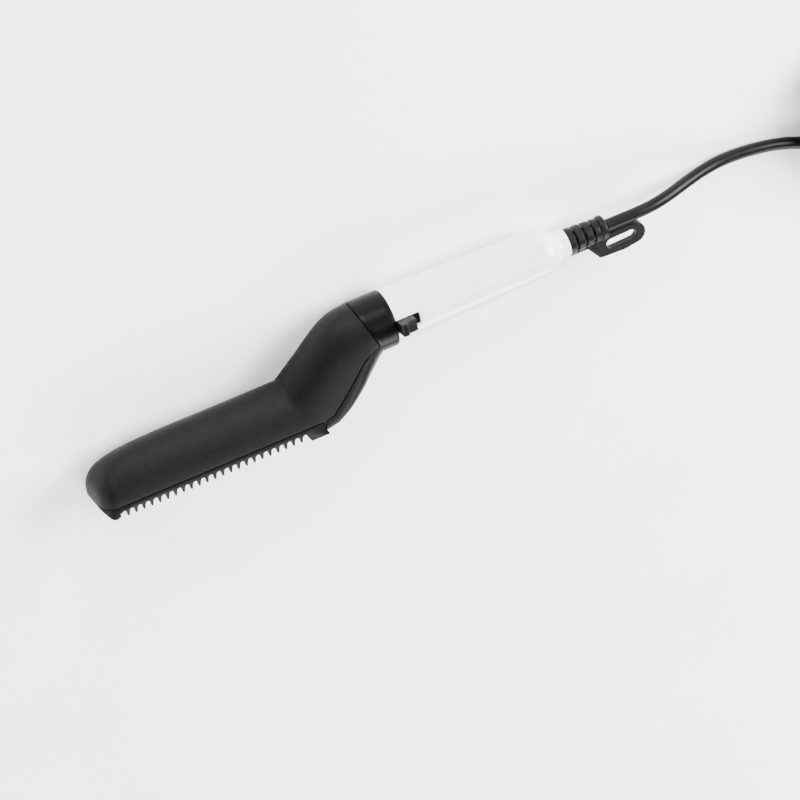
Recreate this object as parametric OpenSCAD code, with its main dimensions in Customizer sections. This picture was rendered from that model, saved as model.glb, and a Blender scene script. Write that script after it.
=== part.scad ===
// Heated comb for straightening a beard or short hair: a cranked head with an
// aluminium heating face between two rows of short teeth, a slim round handle
// with a slide switch, and a mains lead on a swivelling strain relief.
// All sizes are in millimetres. The comb lies on its side, +X runs along the
// handle towards the lead, +Y is the back of the head and +Z points up.

/* [Handle] */
// Outer radius of the handle and its collar where they meet
handle_r = 14; // [13.5:0.1:14.5]
// Radius of the handle just before its rear shoulder
handle_rear_r = 12.2; // [11.8:0.1:12.6]
// Length of the white sleeve without its rear neck
sleeve_len = 90; // [88:1:92]
// Wall of the sleeve
sleeve_wall = 1.8; // [1.6:0.1:2]
// Width of the switch notch in the sleeve
notch_w = 6.8; // [6.6:0.1:7]
// Length of the switch notch from the collar
notch_len = 12.2; // [12:0.1:13]
// Lean of the switch from straight up towards the back
switch_lean = 9; // [7:1:12]

/* [Head] */
// Distance from the collar's rear edge to the tip of the head
tip_reach = 159; // [157:1:161]
// Distance from the handle's axis down to the head's parting plane
part_drop = 32; // [31.5:0.1:32.5]
// Height of the head's arched cover above the parting plane
cover_h = 20.6; // [20:0.1:21]
// Wall of the moulded shells
shell_wall = 2; // [1.8:0.1:2.2]
// Half width of the head
head_half = 14; // [13.8:0.1:14.2]

/* [Comb] */
// Number of teeth in each row
tooth_count = 23; // [19:1:23]
// Distance from tooth to tooth
tooth_pitch = 4.1; // [4:0.05:4.15]
// Length of a tooth below its gap
tooth_len = 3.9; // [3.5:0.1:4.2]
// Travel of the comb frame as it is drawn off the head
frame_travel = 116; // [110:1:120]

/* [Lead] */
// Diameter of the round mains lead
lead_d = 6; // [5.8:0.1:6.2]
// Turns in the tied coil, beside each other
coil_columns = 2; // [2:1:2]
// Mean radius of the tied coil
coil_r = 32; // [31.5:0.5:32.5]
// Reach of the hanging loop from the collar's rear edge
loop_reach = 134.3; // [133:0.1:135]

/* [Plug] */
// Diameter of a plug pin
pin_d = 4; // [3.9:0.05:4.1]
// Length of a plug pin
pin_len = 19; // [18.5:0.5:19.5]
// Distance between the pins at the plug's face
pin_gap = 18.6; // [18:0.1:19]

/* [Hidden] */
$fn = 48;
eps = 0.02;

// The head's underside, measured from the handle's axis
part_y = -part_drop;
crown_y = part_y + cover_h;
gap_y = part_y - 2.9;
tip_y = gap_y - tooth_len;
block_y = part_y - 7.7;
block_rear_x = -44.1;
// The tool lies with its handle's axis at handle_r above the surface
axis_shift = [(tip_reach - loop_reach) / 2, (-block_y - handle_r) / 2, handle_r];
fit_gap = 0.1;
black = "#26282a";
satin = "#1d1e20";
brass = "#b8963e";
steel = "#b9bcc0";

// ---- placing helpers -----------------------------------------------------

module on_tool() {
  translate(axis_shift) children();
}

module rod_x(x0, x1, r, r2 = -1) {
  translate([x0, 0, 0]) rotate([0, 90, 0]) cylinder(h = x1 - x0, r1 = r, r2 = r2 < 0 ? r : r2);
}

// A rod along Y from the lower level y0 up to y1
module rod_y(x, z, y0, y1, r) {
  translate([x, y0, z]) rotate([-90, 0, 0]) cylinder(h = y1 - y0, r = r);
}

// A block given by its lowest and highest corners
module block(low, high) {
  translate(low) cube(high - low);
}

// A body turned about the handle's axis, from a profile of [x, radius] points
module turned_x(points) {
  rotate([0, 90, 0]) rotate_extrude() polygon([for (p = points) [p[1], p[0]]]);
}

// A flat plate in the X-Y plane between two heights
module plate_z(z0, z1) {
  translate([0, 0, z0]) linear_extrude(height = z1 - z0) children();
}

// The frame of the switch, leant over about the handle's axis
module leant() {
  rotate([-switch_lean, 0, 0]) children();
}

// ---- cranked shells --------------------------------------------------------

// Each station of a shell runs from a foot on the parting line to the far edge of
// its arch: [foot x, foot y, edge x, edge y, centre y, half width, roundness]
cover_stations = [
  [-10.3, -4.2, -16.7, handle_r, 0, handle_r, 2],
  [-13, -5.4, -18.2, 13.95, -1.5, handle_r, 2],
  [-15.7, -6.5, -20.2, 13.8, -3.5, handle_r, 2.1],
  [-20, -9.4, -24.4, 13, -8, handle_r, 2.3],
  [-23.6, -13.5, -28.6, 11.5, -13, handle_r, 2.5],
  [-28.3, -18.8, -33.6, 8.2, -18.8, head_half, 2.7],
  [-32.9, -24.1, -39.4, 3.4, -24.1, head_half, 2.8],
  [-39.3, -30.5, -46.4, -2.5, -30.5, head_half, 2.7],
  [block_rear_x, part_y, -52.4, -7.5, part_y, head_half, 2.4],
  [-47.2, part_y, -57.5, crown_y, part_y, head_half, 2.1],
  [-62, part_y, -66, crown_y, part_y, head_half, 2.1],
  [-96, part_y, -96, crown_y, part_y, head_half, 2.1],
  [-125, part_y, -125, crown_y, part_y, head_half, 2.1],
  [-135, part_y, -135, crown_y - 0.5, part_y, head_half, 2.1],
  [-143, part_y, -143, crown_y - 1.8, part_y, head_half, 2.15],
  [-149, part_y, -149, crown_y - 3.9, part_y, head_half, 2.2],
  [-153, part_y, -153, crown_y - 6.4, part_y, tip_half(153), 2.3],
  [-156, part_y, -156, crown_y - 9.6, part_y, tip_half(156), 2.4],
  [-158, part_y, -158, crown_y - 13.4, part_y, tip_half(158), 2.5],
  [1 - tip_reach - 0.5, part_y, 1 - tip_reach - 0.5, crown_y - 16.2, part_y, 8.6, 2.6],
  [-tip_reach, part_y, -tip_reach, part_y + 1.2, part_y, 7, 2.6]
];
neck_stations = [
  [-9, -4.2, -5.6, 0.1 - handle_r, 0, handle_r - 0.1, 2],
  [-9.9, -4.2, -6.5, 0.1 - handle_r, 0, handle_r - 0.1, 2],
  [-13, -5.4, -8.8, -16.1, -1.5, handle_r, 2.1],
  [-15.7, -6.5, -11, -18.6, -3.5, handle_r, 2.2],
  [-20, -9.4, -15, -22.6, -8, handle_r, 2.4],
  [-23.6, -13.5, -19, -26.6, -13, handle_r, 2.7],
  [-28.3, -18.8, -24.5, -31.3, -18.8, head_half, 3.1],
  [-32.9, -24.1, -30, -34.9, -24.1, head_half, 3.8],
  [-39.3, -30.5, -36.5, -37.9, -30.5, head_half, 4.6],
  [block_rear_x, part_y, block_rear_x, -38.8, part_y, head_half, 6]
];
arch_steps = 10;
arch_points = 2 * arch_steps + 1;

// Half width of the head where its corners round off towards the tip
function tip_half(x) = head_half - 7.5 + sqrt(7.5 * 7.5 - pow(max(0, x - tip_reach + 7.5), 2));

function arch_z(y, st, wide) =
  wide * pow(max(0, 1 - pow(abs((y - st[4]) / (st[3] - st[4])), st[6])), 1 / st[6]);

// One point of a station's arch: j runs from the upper foot over the edge to the lower foot
function arch_point(st, j) =
  let (
    f = sin(90 * (1 - abs(1 - j / arch_steps))),
    y = st[1] + (st[3] - st[1]) * f,
    side = j < arch_steps ? 1 : (j > arch_steps ? -1 : 0)
  )
  [st[0] + (st[2] - st[0]) * f, y, side * arch_z(y, st, st[5])];

// The same station for the inside of the wall
function inner_station(st, wall) =
  let (
    down = st[3] > st[1] ? 1 : -1,
    back = wall * min(1, max(0, (-140 - st[0]) / 12))
  )
  [st[0] + back, st[1], st[2] + back, st[3] - down * min(1.2 * wall, abs(st[3] - st[1]) / 2),
   st[4], st[5] - wall, st[6]];

// A shell swept through its stations, open along its feet, and closed at its last
// station where capped is true
module swept_shell(stations, wall, capped) {
  n = len(stations);
  m = arch_points;
  outer = [for (st = stations, j = [0:m - 1]) arch_point(st, j)];
  inner = [for (st = stations, j = [0:m - 1]) arch_point(inner_station(st, wall), j)];
  k = n * m;
  last = (n - 1) * m;
  skin = [for (i = [0:n - 2], j = [0:m - 2])
    let (a = i * m + j, b = a + 1, c = a + m, d = c + 1)
    each [[a, b, c], [b, d, c], [k + a, k + c, k + b], [k + b, k + c, k + d]]];
  feet = [for (i = [0:n - 2])
    let (a = i * m, c = a + m, e = a + m - 1, g = e + m)
    each [[a, c, k + a], [c, k + c, k + a], [e, k + e, g], [g, k + e, k + g]]];
  first_rim = [for (j = [0:m - 2]) each [[j, k + j, j + 1], [j + 1, k + j, k + j + 1]]];
  last_rim = [for (j = [last:last + m - 2]) each [[j, j + 1, k + j], [j + 1, k + j + 1, k + j]]];
  cap = concat(
    [[for (j = [0:m - 1]) last + j]],
    [[for (j = [m - 1:-1:0]) k + last + j]],
    [[last, k + last, k + last + m - 1, last + m - 1]]
  );
  polyhedron(
    points = concat(outer, inner),
    faces = concat(skin, feet, first_rim, capped ? cap : last_rim)
  );
}

// ---- handle ----------------------------------------------------------------

module handle_sleeve() {
  color("#f3f4f6") on_tool() difference() {
    turned_x([
      [0, handle_r], [0, 12.2], [80, handle_rear_r - sleeve_wall], [83, 9.4], [86, 7.8], [86, 4.6],
      [94.4, 4.6], [94.4, 6.7], [sleeve_len, 6.7], [88.2, 7.4], [87.4, 8.4], [86, 9.9], [84, 11.2],
      [82, 11.9], [80, handle_rear_r]
    ]);
    leant() block([-1, -notch_w / 2, 8], [notch_len, notch_w / 2, 18]);
    rod_y(6, 0, -15, -10, 1.3);
    translate([6, -14.6, 0]) rotate([-90, 0, 0]) cylinder(h = 1.9, r1 = 3.3, r2 = 1.4);
  }
}

module sleeve_screw() {
  color(steel) on_tool() {
    difference() {
      translate([6, -13.6, 0]) rotate([-90, 0, 0]) cylinder(h = 1, r1 = 2.15, r2 = 1.15);
      translate([6, -13.6, 0]) for (a = [0, 90]) rotate([0, a, 0]) cube([2.4, 1, 0.5], center = true);
    }
    rod_y(6, 0, -12.62, -10.6, 1.1);
  }
}

// ---- collar, neck and cover --------------------------------------------------

module collar_ring() {
  difference() {
    rod_x(-17, 0, handle_r);
    rod_x(-18, 1, 11.4);
    // The collar's front edge is cut on a slant
    plate_z(-20, 20) polygon([[-30, 30], [-11.4 - 0.35 * 30, 30], [-11.4 + 0.35 * 30, -30], [-30, -30]]);
    leant() block([-5, -3.8, 9], [1, 3.8, 12.3]);
  }
}

module base_shell() {
  color(satin) on_tool() difference() {
    union() {
      collar_ring();
      swept_shell(neck_stations, shell_wall, false);
      difference() {
        rod_x(-1, 10, 11.9);
        rod_x(-2, 11, 10.6);
        leant() block([-2, -4.4, 6], [11, 4.4, 14]);
      }
      block([block_rear_x, -37.6, -12], [block_rear_x + 1.6, part_y - 0.4, 12]);
      for (z = [-7, 7]) rod_y(-37, z, -37.4, -27, 2.8);
    }
    for (z = [-7, 7]) {
      rod_y(-37, z, -40, -35.5, 2.1);
      rod_y(-37, z, -36, -26, 1.15);
    }
    rod_y(6, 0, -13, -9, 1.1);
  }
}

module upper_shell() {
  color(black) on_tool() difference() {
    union() {
      swept_shell(cover_stations, shell_wall, true);
      for (z = [-7, 7]) rod_y(-37, z, -26.9, 0.5, 2.6);
      for (x = [-53.5, -149.5]) rod_y(x, 0, -30.1, x > -100 ? -9 : -16.5, 2.6);
    }
    for (z = [-7, 7]) rod_y(-37, z, -28, -16, 0.9);
    for (x = [-53.5, -149.5]) rod_y(x, 0, -31, -22, 0.9);
  }
}

module neck_screws() {
  color(steel) on_tool() for (z = [-7, 7]) {
    rod_y(-37, z, -37, -35.5, 1.9);
    rod_y(-37, z, -35.52, -17, 0.9);
  }
}

// ---- comb frame -------------------------------------------------------------

first_tooth_x = -57.3;
gap_r = 1.25;

// One gap between two teeth, round at its root and wider at its mouth
module tooth_gap(x) {
  translate([x, gap_y - gap_r]) circle(r = gap_r);
  polygon([
    [x - gap_r, gap_y - gap_r], [x + gap_r, gap_y - gap_r],
    [x + 1.55, tip_y - 0.5], [x - 1.55, tip_y - 0.5]
  ]);
}

// The side of the frame: a strip with its teeth, the guard horn and the rear block
module frame_side() {
  difference() {
    polygon([
      [block_rear_x - fit_gap, part_y - fit_gap], [-154, part_y - fit_gap], [-155.8, gap_y - 1],
      [-155, tip_y + 0.9], [-153.6, tip_y + 0.5], [-152.3, tip_y + 0.9], [-151.6, tip_y + 1.4],
      [-151.6, tip_y], [-53.6, tip_y], [-52.2, block_y], [block_rear_x - fit_gap, block_y]
    ]);
    for (i = [-1:tooth_count - 1]) tooth_gap(first_tooth_x - tooth_pitch * (i + 0.5));
    polygon([[-151.7, tip_y - 1], [-151.7, gap_y - 0.6], [-149.6, gap_y - 0.4], [-149.2, tip_y - 1]]);
    polygon([[-55.4, gap_y], [-54.8, gap_y], [-52.2, block_y - 1], [-56, block_y - 1]]);
  }
}

module comb_frame() {
  color(black) on_tool() {
    for (s = [-1, 1]) {
      plate_z(s > 0 ? 11.2 : -13.8, s > 0 ? 13.8 : -11.2) frame_side();
      // The tongue that runs in the carrier's groove
      block([-150.8, -34.2, s > 0 ? 10 : -11.3], [-46, -33.2, s > 0 ? 11.3 : -10]);
      // The rear block reaches further inwards
      block([-52, block_y, s > 0 ? 9.2 : -13.8], [block_rear_x - fit_gap, part_y - 4.2, s > 0 ? 13.8 : -9.2]);
    }
    // The end bar joins both sides under the tip
    block([-154.6, part_y - 1.5, -11.3], [-152.6, part_y - fit_gap, 11.3]);
  }
}

// ---- heating unit -----------------------------------------------------------

plate_x0 = -147.6;
plate_x1 = -58;

module heater_carrier() {
  color("#2e2f31") on_tool() difference() {
    union() {
      block([-152, -32, -11.6], [-47, -30.2, 11.6]);
      block([-151.2, -36, -10.9], [-46, -31.9, 10.9]);
    }
    // The well for the heater and the window for the plate's face
    block([plate_x0 - 0.2, -35, -8.8], [plate_x1 + 0.2, -30, 8.8]);
    block([plate_x0 + 1, -37, -7.4], [plate_x1 - 1, -34.9, 7.4]);
    for (s = [-1, 1]) block([-152, -34.3, s > 0 ? 9.9 : -11], [-45, -33.1, s > 0 ? 11 : -9.9]);
    // Room for the comb frame's rear blocks
    for (s = [-1, 1]) block([-52.2, -37, s > 0 ? 9.1 : -11], [-45, -34.2, s > 0 ? 11 : -9.1]);
    for (x = [-53.5, -149.5]) {
      rod_y(x, 0, -37, -29, 1.1);
      rod_y(x, 0, -37, -34, 1.9);
    }
    for (x = [-140, -103, -66], s = [-1, 1]) rod_y(x, s * 10.1, -32.6, -29, 0.7);
    // The leads rise through a slot beside the plate
    block([-57, -33, -5], [-55.8, -29, 5]);
  }
}

module carrier_screws() {
  color(steel) on_tool() for (x = [-53.5, -149.5]) {
    rod_y(x, 0, -35.4, -34, 1.7);
    rod_y(x, 0, -34.02, -23, 0.9);
  }
}

module heater_plate() {
  color("#c9ccd0") on_tool() {
    block([plate_x0, -35, -8.6], [plate_x1, -33.4, 8.6]);
    block([plate_x0 + 1.2, -36.4, -7.2], [plate_x1 - 1.2, -34.9, 7.2]);
    for (i = [-2:2]) block([plate_x0 + 2, -37.2, 2.8 * i - 0.6], [plate_x1 - 2, -36.3, 2.8 * i + 0.6]);
  }
}

module insulation_sheets() {
  color("#c58a2a") on_tool() {
    block([plate_x0 + 1, -33.4, -7.5], [plate_x1 - 1, -33.1, 7.5]);
    block([plate_x0 + 1, -30.5, -7.5], [plate_x1 - 1, -30.2, 7.5]);
  }
}

module ptc_heater() {
  color("#d9dadb") on_tool() block([-144, -33.1, -5.5], [-62, -30.5, 5.5]);
}

module heater_clamp() {
  color(steel) on_tool() difference() {
    union() {
      block([-145, -30.2, -5], [-61, -29.7, 5]);
      for (x = [-140, -103, -66]) block([x - 2.5, -30.2, -11.4], [x + 2.5, -29.7, 11.4]);
    }
    for (x = [-140, -103, -66], s = [-1, 1]) rod_y(x, s * 10.1, -31, -29, 0.8);
  }
}

module clamp_bar_screws() {
  color(steel) on_tool() for (x = [-140, -103, -66], s = [-1, 1]) {
    rod_y(x, s * 10.1, -29.7, -29.1, 1.3);
    rod_y(x, s * 10.1, -32.4, -29.72, 0.7);
  }
}

module thermal_fuse() {
  color("#d8cfb0") on_tool() translate([0, -27, 0]) {
    rod_x(-84, -73, 2);
    rod_x(-88, -84 + eps, 0.5);
    rod_x(-73 - eps, -69, 0.5);
  }
}

fuse_lead = [
  [-69, -27, 0], [-65, -26.8, -0.4], [-60, -24.6, -2], [-54, -20, -3.6], [-44, -12.4, -3.2], [-34, -5.4, -3],
  [-24, -0.8, -3], [-14, 0.6, -3], [-5, 1, -3]
];
heater_lead = [
  [-61.5, -29.4, 2], [-59, -28.2, 2.6], [-56, -25, 3.6], [-52, -20.4, 3.8], [-44, -12.8, 3.2], [-34, -4.6, 3],
  [-24, 1.6, 3], [-14, 4, 3], [-2, 4.4, 3]
];

module heater_leads() {
  color("#f0efe8") on_tool() {
    swept_tube(fuse_lead, 0.9, 8);
    swept_tube(heater_lead, 0.9, 8);
  }
}

// ---- switch and wiring in the handle ---------------------------------------

module circuit_tray() {
  color("#3a3c3e") on_tool() leant() {
    difference() {
      rod_x(12.5, 78, 9.6);
      rod_x(11, 79, 8.2);
      block([11, -12, -2], [79, 12, 12]);
    }
    for (x = [18, 42], s = [-1, 1]) difference() {
      block([x - 2, s > 0 ? 4.4 : -8, -5.5], [x + 2, s > 0 ? 8 : -4.4, -0.2]);
      translate([x, s * 6.2, -4]) cylinder(h = 5, r = 0.8);
    }
    difference() {
      block([64, -7.6, -6.6], [72, 7.6, -1.2]);
      rod_x(63, 73, 3);
      for (s = [-1, 1]) translate([68, s * 5.6, -5]) cylinder(h = 6, r = 0.8);
    }
    // The screwed foot under the collar's spigot
    difference() {
      rod_x(1, 12.6, 10.5);
      rod_x(0, 13.6, 9);
      block([0, -12, -2], [14, 12, 12]);
    }
  }
}

module circuit_board() {
  color("#2f6b3f") on_tool() leant() difference() {
    block([-1, -7.4, -0.2], [48, 7.4, 1.4]);
    for (x = [18, 42], s = [-1, 1]) translate([x, s * 6.2, -1]) cylinder(h = 3, r = 0.95);
  }
}

module board_screws() {
  color(steel) on_tool() leant() for (x = [18, 42], s = [-1, 1]) translate([x, s * 6.2, 0]) {
    translate([0, 0, 1.4]) cylinder(h = 0.9, r = 1.4);
    translate([0, 0, -3.8]) cylinder(h = 5.22, r = 0.8);
  }
}

module slide_switch() {
  color("#8f9296") on_tool() leant() difference() {
    block([0.5, -2.9, 1.4], [14.5, 2.9, 8.4]);
    block([2.4, -1.2, 5], [9.8, 1.2, 9]);
  }
}

knob_travel = 2.8;
knob_half = notch_w / 2 - 0.3;

module switch_knob() {
  color(satin) on_tool() leant() {
    // The curved cover slides under the sleeve's wall
    difference() {
      intersection() {
        rod_x(-knob_travel, 12.8, 11.5);
        block([-4, -3.4, 8], [13, 3.4, 13]);
      }
      rod_x(-5, 14, 10.5);
    }
    // The thumb ridge stands out of the notch at its front end
    block([0.3, -knob_half, 10.4], [3.8, knob_half, 19.2]);
    block([0.7, 0.5 - knob_half, 19.1], [3.2, knob_half - 0.5, 19.9]);
    block([3.6, -knob_half, 10.4], [8.6, knob_half, 18.2]);
    block([2.8, -1, 5.6], [5.4, 1, 10.8]);
  }
}

module crimp_caps() {
  color("#dfe3e8") on_tool() for (y = [-3.6, 3.6]) translate([0, y, -3]) {
    rod_x(50, 58, 2.1);
    rod_x(47.5, 50 + eps, 1.3, 2.1);
  }
}

// One mains core from the sheath's end to its crimp; the other mirrors it
core_route = [[62.65, 1.3, 0], [61.6, 1.5, -0.3], [60.4, 2.4, -1.6], [59.4, 3.2, -2.7], [58.5, 3.5, -2.95]];

module mains_leads() {
  color("#2d5f9e") on_tool() {
    swept_tube(core_route, 1.1, 8);
    mirror([0, 1, 0]) swept_tube(core_route, 1.1, 8);
  }
}

module inner_cord() {
  color(satin) on_tool() rod_x(63, 116.2, lead_d / 2);
}

module cord_clamp() {
  color("#3a3c3e") on_tool() leant() difference() {
    block([64.5, -7.4, -1], [71.5, 7.4, 5]);
    rod_x(64, 72, 3);
    for (s = [-1, 1]) translate([68, s * 5.6, -2]) cylinder(h = 9, r = 1);
  }
}

module cord_clamp_screws() {
  color(steel) on_tool() leant() for (s = [-1, 1]) translate([68, s * 5.6, 0]) {
    translate([0, 0, 5]) cylinder(h = 1, r = 1.6);
    translate([0, 0, -4.8]) cylinder(h = 9.82, r = 0.8);
  }
}

// ---- swivelling strain relief --------------------------------------------------

loop_t = 1.9;
loop_corners = [[110.2, -13.4, 1.8], [122.4, -12.6, 3.2], [128.5, -9.2, 5.5], [114, -5.6, 1.9]];
loop_window = [[116.2, -9.7, 2.7], [126.6, -9.3, 2.7]];

module rounded_outline(corners) {
  hull() for (c = corners) translate([c[0], c[1]]) circle(r = c[2], $fn = 32);
}

module strain_relief() {
  color(satin) on_tool() difference() {
    union() {
      turned_x([
        [84, 0.5], [84, 4.5], [84.8, 4.5], [84.8, 3.9], [85.8, 3.9], [85.8, 4.5], [94.5, 4.5],
        [94.5, 6.4], [96.5, 6.4], [111, 5.4], [111.6, 5.4], [112, 6], [114.4, 6], [114.8, 5.6],
        [114.8, 0.5]
      ]);
      plate_z(-loop_t, loop_t) difference() {
        union() {
          rounded_outline(loop_corners);
          polygon([[104, -4], [104.6, -8.4], [109, -14.6], [116, -14], [116, -4]]);
        }
        rounded_outline(loop_window);
      }
      // A thin rib joins the loop to the relief's foot
      block([94.8, -8.2, -1], [105.5, -4.6, 1]);
    }
    rod_x(83, 118, lead_d / 2 + fit_gap);
    // Slots that let the relief bend, open on the upper and the lower side
    for (x = [97.6, 102.2, 106.8], a = [0, 180]) rotate([a, 0, 0]) intersection() {
      difference() {
        rod_x(x, x + 1.5, 8);
        rod_x(x - 1, x + 3, 4.4);
      }
      block([x - 1, -9, 1.6], [x + 3, 9, 9]);
    }
  }
}

module swivel_ring() {
  color(steel) on_tool() difference() {
    rod_x(84.9, 85.7, 6.8);
    rod_x(84, 86.5, 3.95);
  }
}

// ---- free lead --------------------------------------------------------------

lead_r = lead_d / 2;
lead_z = lead_r - handle_r;
coil_x = 266.5;
coil_y = 4;
coil_half = coil_columns * lead_r;
coil_rows = 4;
coil_h = coil_rows * lead_d;
// The lead's way from the relief down to the surface and into the coil
lead_route = [
  [116.2, 0, 0], [124, 0, 0], [132, 0, 0], [140, 0, -0.6], [150, 0.2, -2.8], [160, 0.6, -6],
  [170, 1, -8.8], [180, 1.1, -10.6], [190, 0.8, lead_z], [200, -0.4, lead_z], [210.5, -2.7, lead_z],
  [221, -6.6, lead_z], [230.5, -11.9, lead_z], [238, -17.5, lead_z], [244, -22.8, lead_z]
];
// Out of the coil's second layer, over the lead that comes in, and round to the plug
tail_route = [
  [230.8, 17, -5], [226.3, 7.5, -5], [226.1, -3.1, -5], [229.3, -13.3, -5], [235.1, -22.4, -5],
  [243, -29.6, -5], [252.5, -34.5, -5], [259.5, -36.4, -5], [266.5, -37, -5.1], [271.8, -36.5, -5.3],
  [276.9, -35.2, -5.6], [281.7, -32.9, -6], [286.5, -29.5, -6.4], [291.3, -26.1, -6.7],
  [296.1, -23.8, -6.9], [301.2, -22.5, -7], [306.5, -22, -7]
];

function unit(v) = v / norm(v);

// The directions along a route, each point looking from the one before to the one after
function route_dir(route, i) =
  unit(route[min(i + 1, len(route) - 1)] - route[max(i - 1, 0)]);

// A round tube of straight sides swept along a route
module swept_tube(route, r, sides) {
  n = len(route);
  points = [for (i = [0:n - 1], j = [0:sides - 1])
    let (
      d = route_dir(route, i),
      u = unit(cross(d, [0, 0, 1])),
      v = cross(u, d),
      a = 360 * j / sides
    )
    route[i] + r * (cos(a) * u + sin(a) * v)];
  sides_faces = [for (i = [0:n - 2], j = [0:sides - 1])
    let (k = (j + 1) % sides, a = i * sides + j, b = i * sides + k)
    each [[a, a + sides, b], [b, a + sides, b + sides]]];
  ends = [[for (j = [0:sides - 1]) j], [for (j = [sides - 1:-1:0]) (n - 1) * sides + j]];
  polyhedron(points = points, faces = concat(sides_faces, ends));
}

module power_cord() {
  color(satin) on_tool() swept_tube(lead_route, lead_r, 12);
}

module cord_tail() {
  color(satin) on_tool() swept_tube(tail_route, lead_r, 12);
}

module cord_coil() {
  color(satin) on_tool() translate([coil_x, coil_y, -handle_r]) rotate_extrude()
    polygon([
      [coil_r - coil_half, 2], [coil_r - coil_half + 2, 0], [coil_r + coil_half - 2, 0],
      [coil_r + coil_half, 2], [coil_r + coil_half, coil_h - 2], [coil_r + coil_half - 2, coil_h],
      [coil_r - coil_half + 2, coil_h], [coil_r - coil_half, coil_h - 2]
    ]);
}

module cord_tie() {
  color("#3b3d40") on_tool() translate([coil_x + coil_r, coil_y, -handle_r]) difference() {
    block([-coil_half - 1, -4, 0], [coil_half + 1, 4, coil_h + 1]);
    block([-coil_half, -5, 1], [coil_half, 5, coil_h]);
  }
}

plug_x = 306.5;
plug_y = -22;
plug_z = -7;
pin_root_r = 1.6;

module plug_body() {
  color(satin) on_tool() translate([plug_x, plug_y, plug_z]) {
    rod_x(0, 14, 3.6, 4.6);
    difference() {
      plate_z(-7, 7) polygon([
        [13, -5], [22, -8.5], [30, -13], [37, -16], [40, -16], [40, 16], [37, 16], [30, 13],
        [22, 8.5], [13, 5]
      ]);
      for (s = [-1, 1]) translate([0, s * pin_gap / 2, 0]) rod_x(30, 41, pin_root_r);
    }
  }
}

module plug_pins() {
  color(brass) on_tool() translate([plug_x, plug_y, plug_z])
    for (s = [-1, 1]) translate([0, s * pin_gap / 2, 0]) {
      rod_x(30, 40 + eps, pin_root_r);
      rod_x(40, 40 + pin_len - 1.5, pin_d / 2);
      translate([40 + pin_len - 1.5 - eps, 0, 0]) rod_x(0, 1.5, pin_d / 2, 1.1);
    }
}

handle_sleeve();
base_shell();
upper_shell();
comb_frame();
heater_carrier();
heater_plate();
ptc_heater();
insulation_sheets();
heater_clamp();
clamp_bar_screws();
carrier_screws();
thermal_fuse();
heater_leads();
neck_screws();
sleeve_screw();
circuit_tray();
circuit_board();
board_screws();
slide_switch();
switch_knob();
crimp_caps();
mains_leads();
inner_cord();
cord_clamp();
cord_clamp_screws();
strain_relief();
swivel_ring();
power_cord();
cord_coil();
cord_tail();
cord_tie();
plug_body();
plug_pins();
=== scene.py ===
"""A heated styling comb that lies on its side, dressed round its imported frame.

Inside the classes every length is in millimetres in the tool's own frame: x runs along the
handle from the collar's rear edge towards the lead, y points to the back of the head and z
points up, all from the handle's axis. ToolFrame turns them into metres in the row frame.
"""

import logging
import math
from collections.abc import Iterable, Sequence
from dataclasses import dataclass
from enum import Enum
from typing import NamedTuple

import bmesh
import bpy
from mathutils import Matrix, Vector


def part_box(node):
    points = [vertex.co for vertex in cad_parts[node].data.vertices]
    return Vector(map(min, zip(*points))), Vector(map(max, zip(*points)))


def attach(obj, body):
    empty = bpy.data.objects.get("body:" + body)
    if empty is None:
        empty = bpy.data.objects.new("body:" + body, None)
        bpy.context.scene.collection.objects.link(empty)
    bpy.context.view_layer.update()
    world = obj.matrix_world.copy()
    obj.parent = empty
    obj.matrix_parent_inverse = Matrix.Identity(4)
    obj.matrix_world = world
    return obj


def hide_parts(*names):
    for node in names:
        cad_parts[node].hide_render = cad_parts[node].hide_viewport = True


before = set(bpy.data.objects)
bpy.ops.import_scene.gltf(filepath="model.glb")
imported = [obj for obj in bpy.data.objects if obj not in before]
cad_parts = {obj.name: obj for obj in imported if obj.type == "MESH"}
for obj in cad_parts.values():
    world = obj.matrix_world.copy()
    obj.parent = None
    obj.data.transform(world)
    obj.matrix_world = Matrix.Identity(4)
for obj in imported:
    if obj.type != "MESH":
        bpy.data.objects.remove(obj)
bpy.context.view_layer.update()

MM = 0.001
SHARP_ANGLE = math.radians(34)

log = logging.getLogger("styling_comb")

Row = Sequence[float]


# ---------------------------------------------------------------------------
# The tool's frame and small mesh helpers
# ---------------------------------------------------------------------------


@dataclass(frozen=True)
class ToolFrame:
    """Where the handle's axis crosses the collar's rear edge, in the row frame."""

    origin: Vector

    @classmethod
    def from_frame(cls) -> "ToolFrame":
        """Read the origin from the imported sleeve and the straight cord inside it.

        Returns:
            The tool's frame, in metres.
        """
        sleeve_low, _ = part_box("handle_sleeve")
        cord_low, cord_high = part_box("inner_cord")
        middle = (Vector(cord_low) + Vector(cord_high)) / 2
        return cls(Vector((sleeve_low[0], middle.y, middle.z)))

    def at(self, point: Row) -> Vector:
        """Turn a point in millimetres into metres in the row frame."""
        return self.origin + Vector(point) * MM


TOOL = ToolFrame.from_frame()


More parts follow.
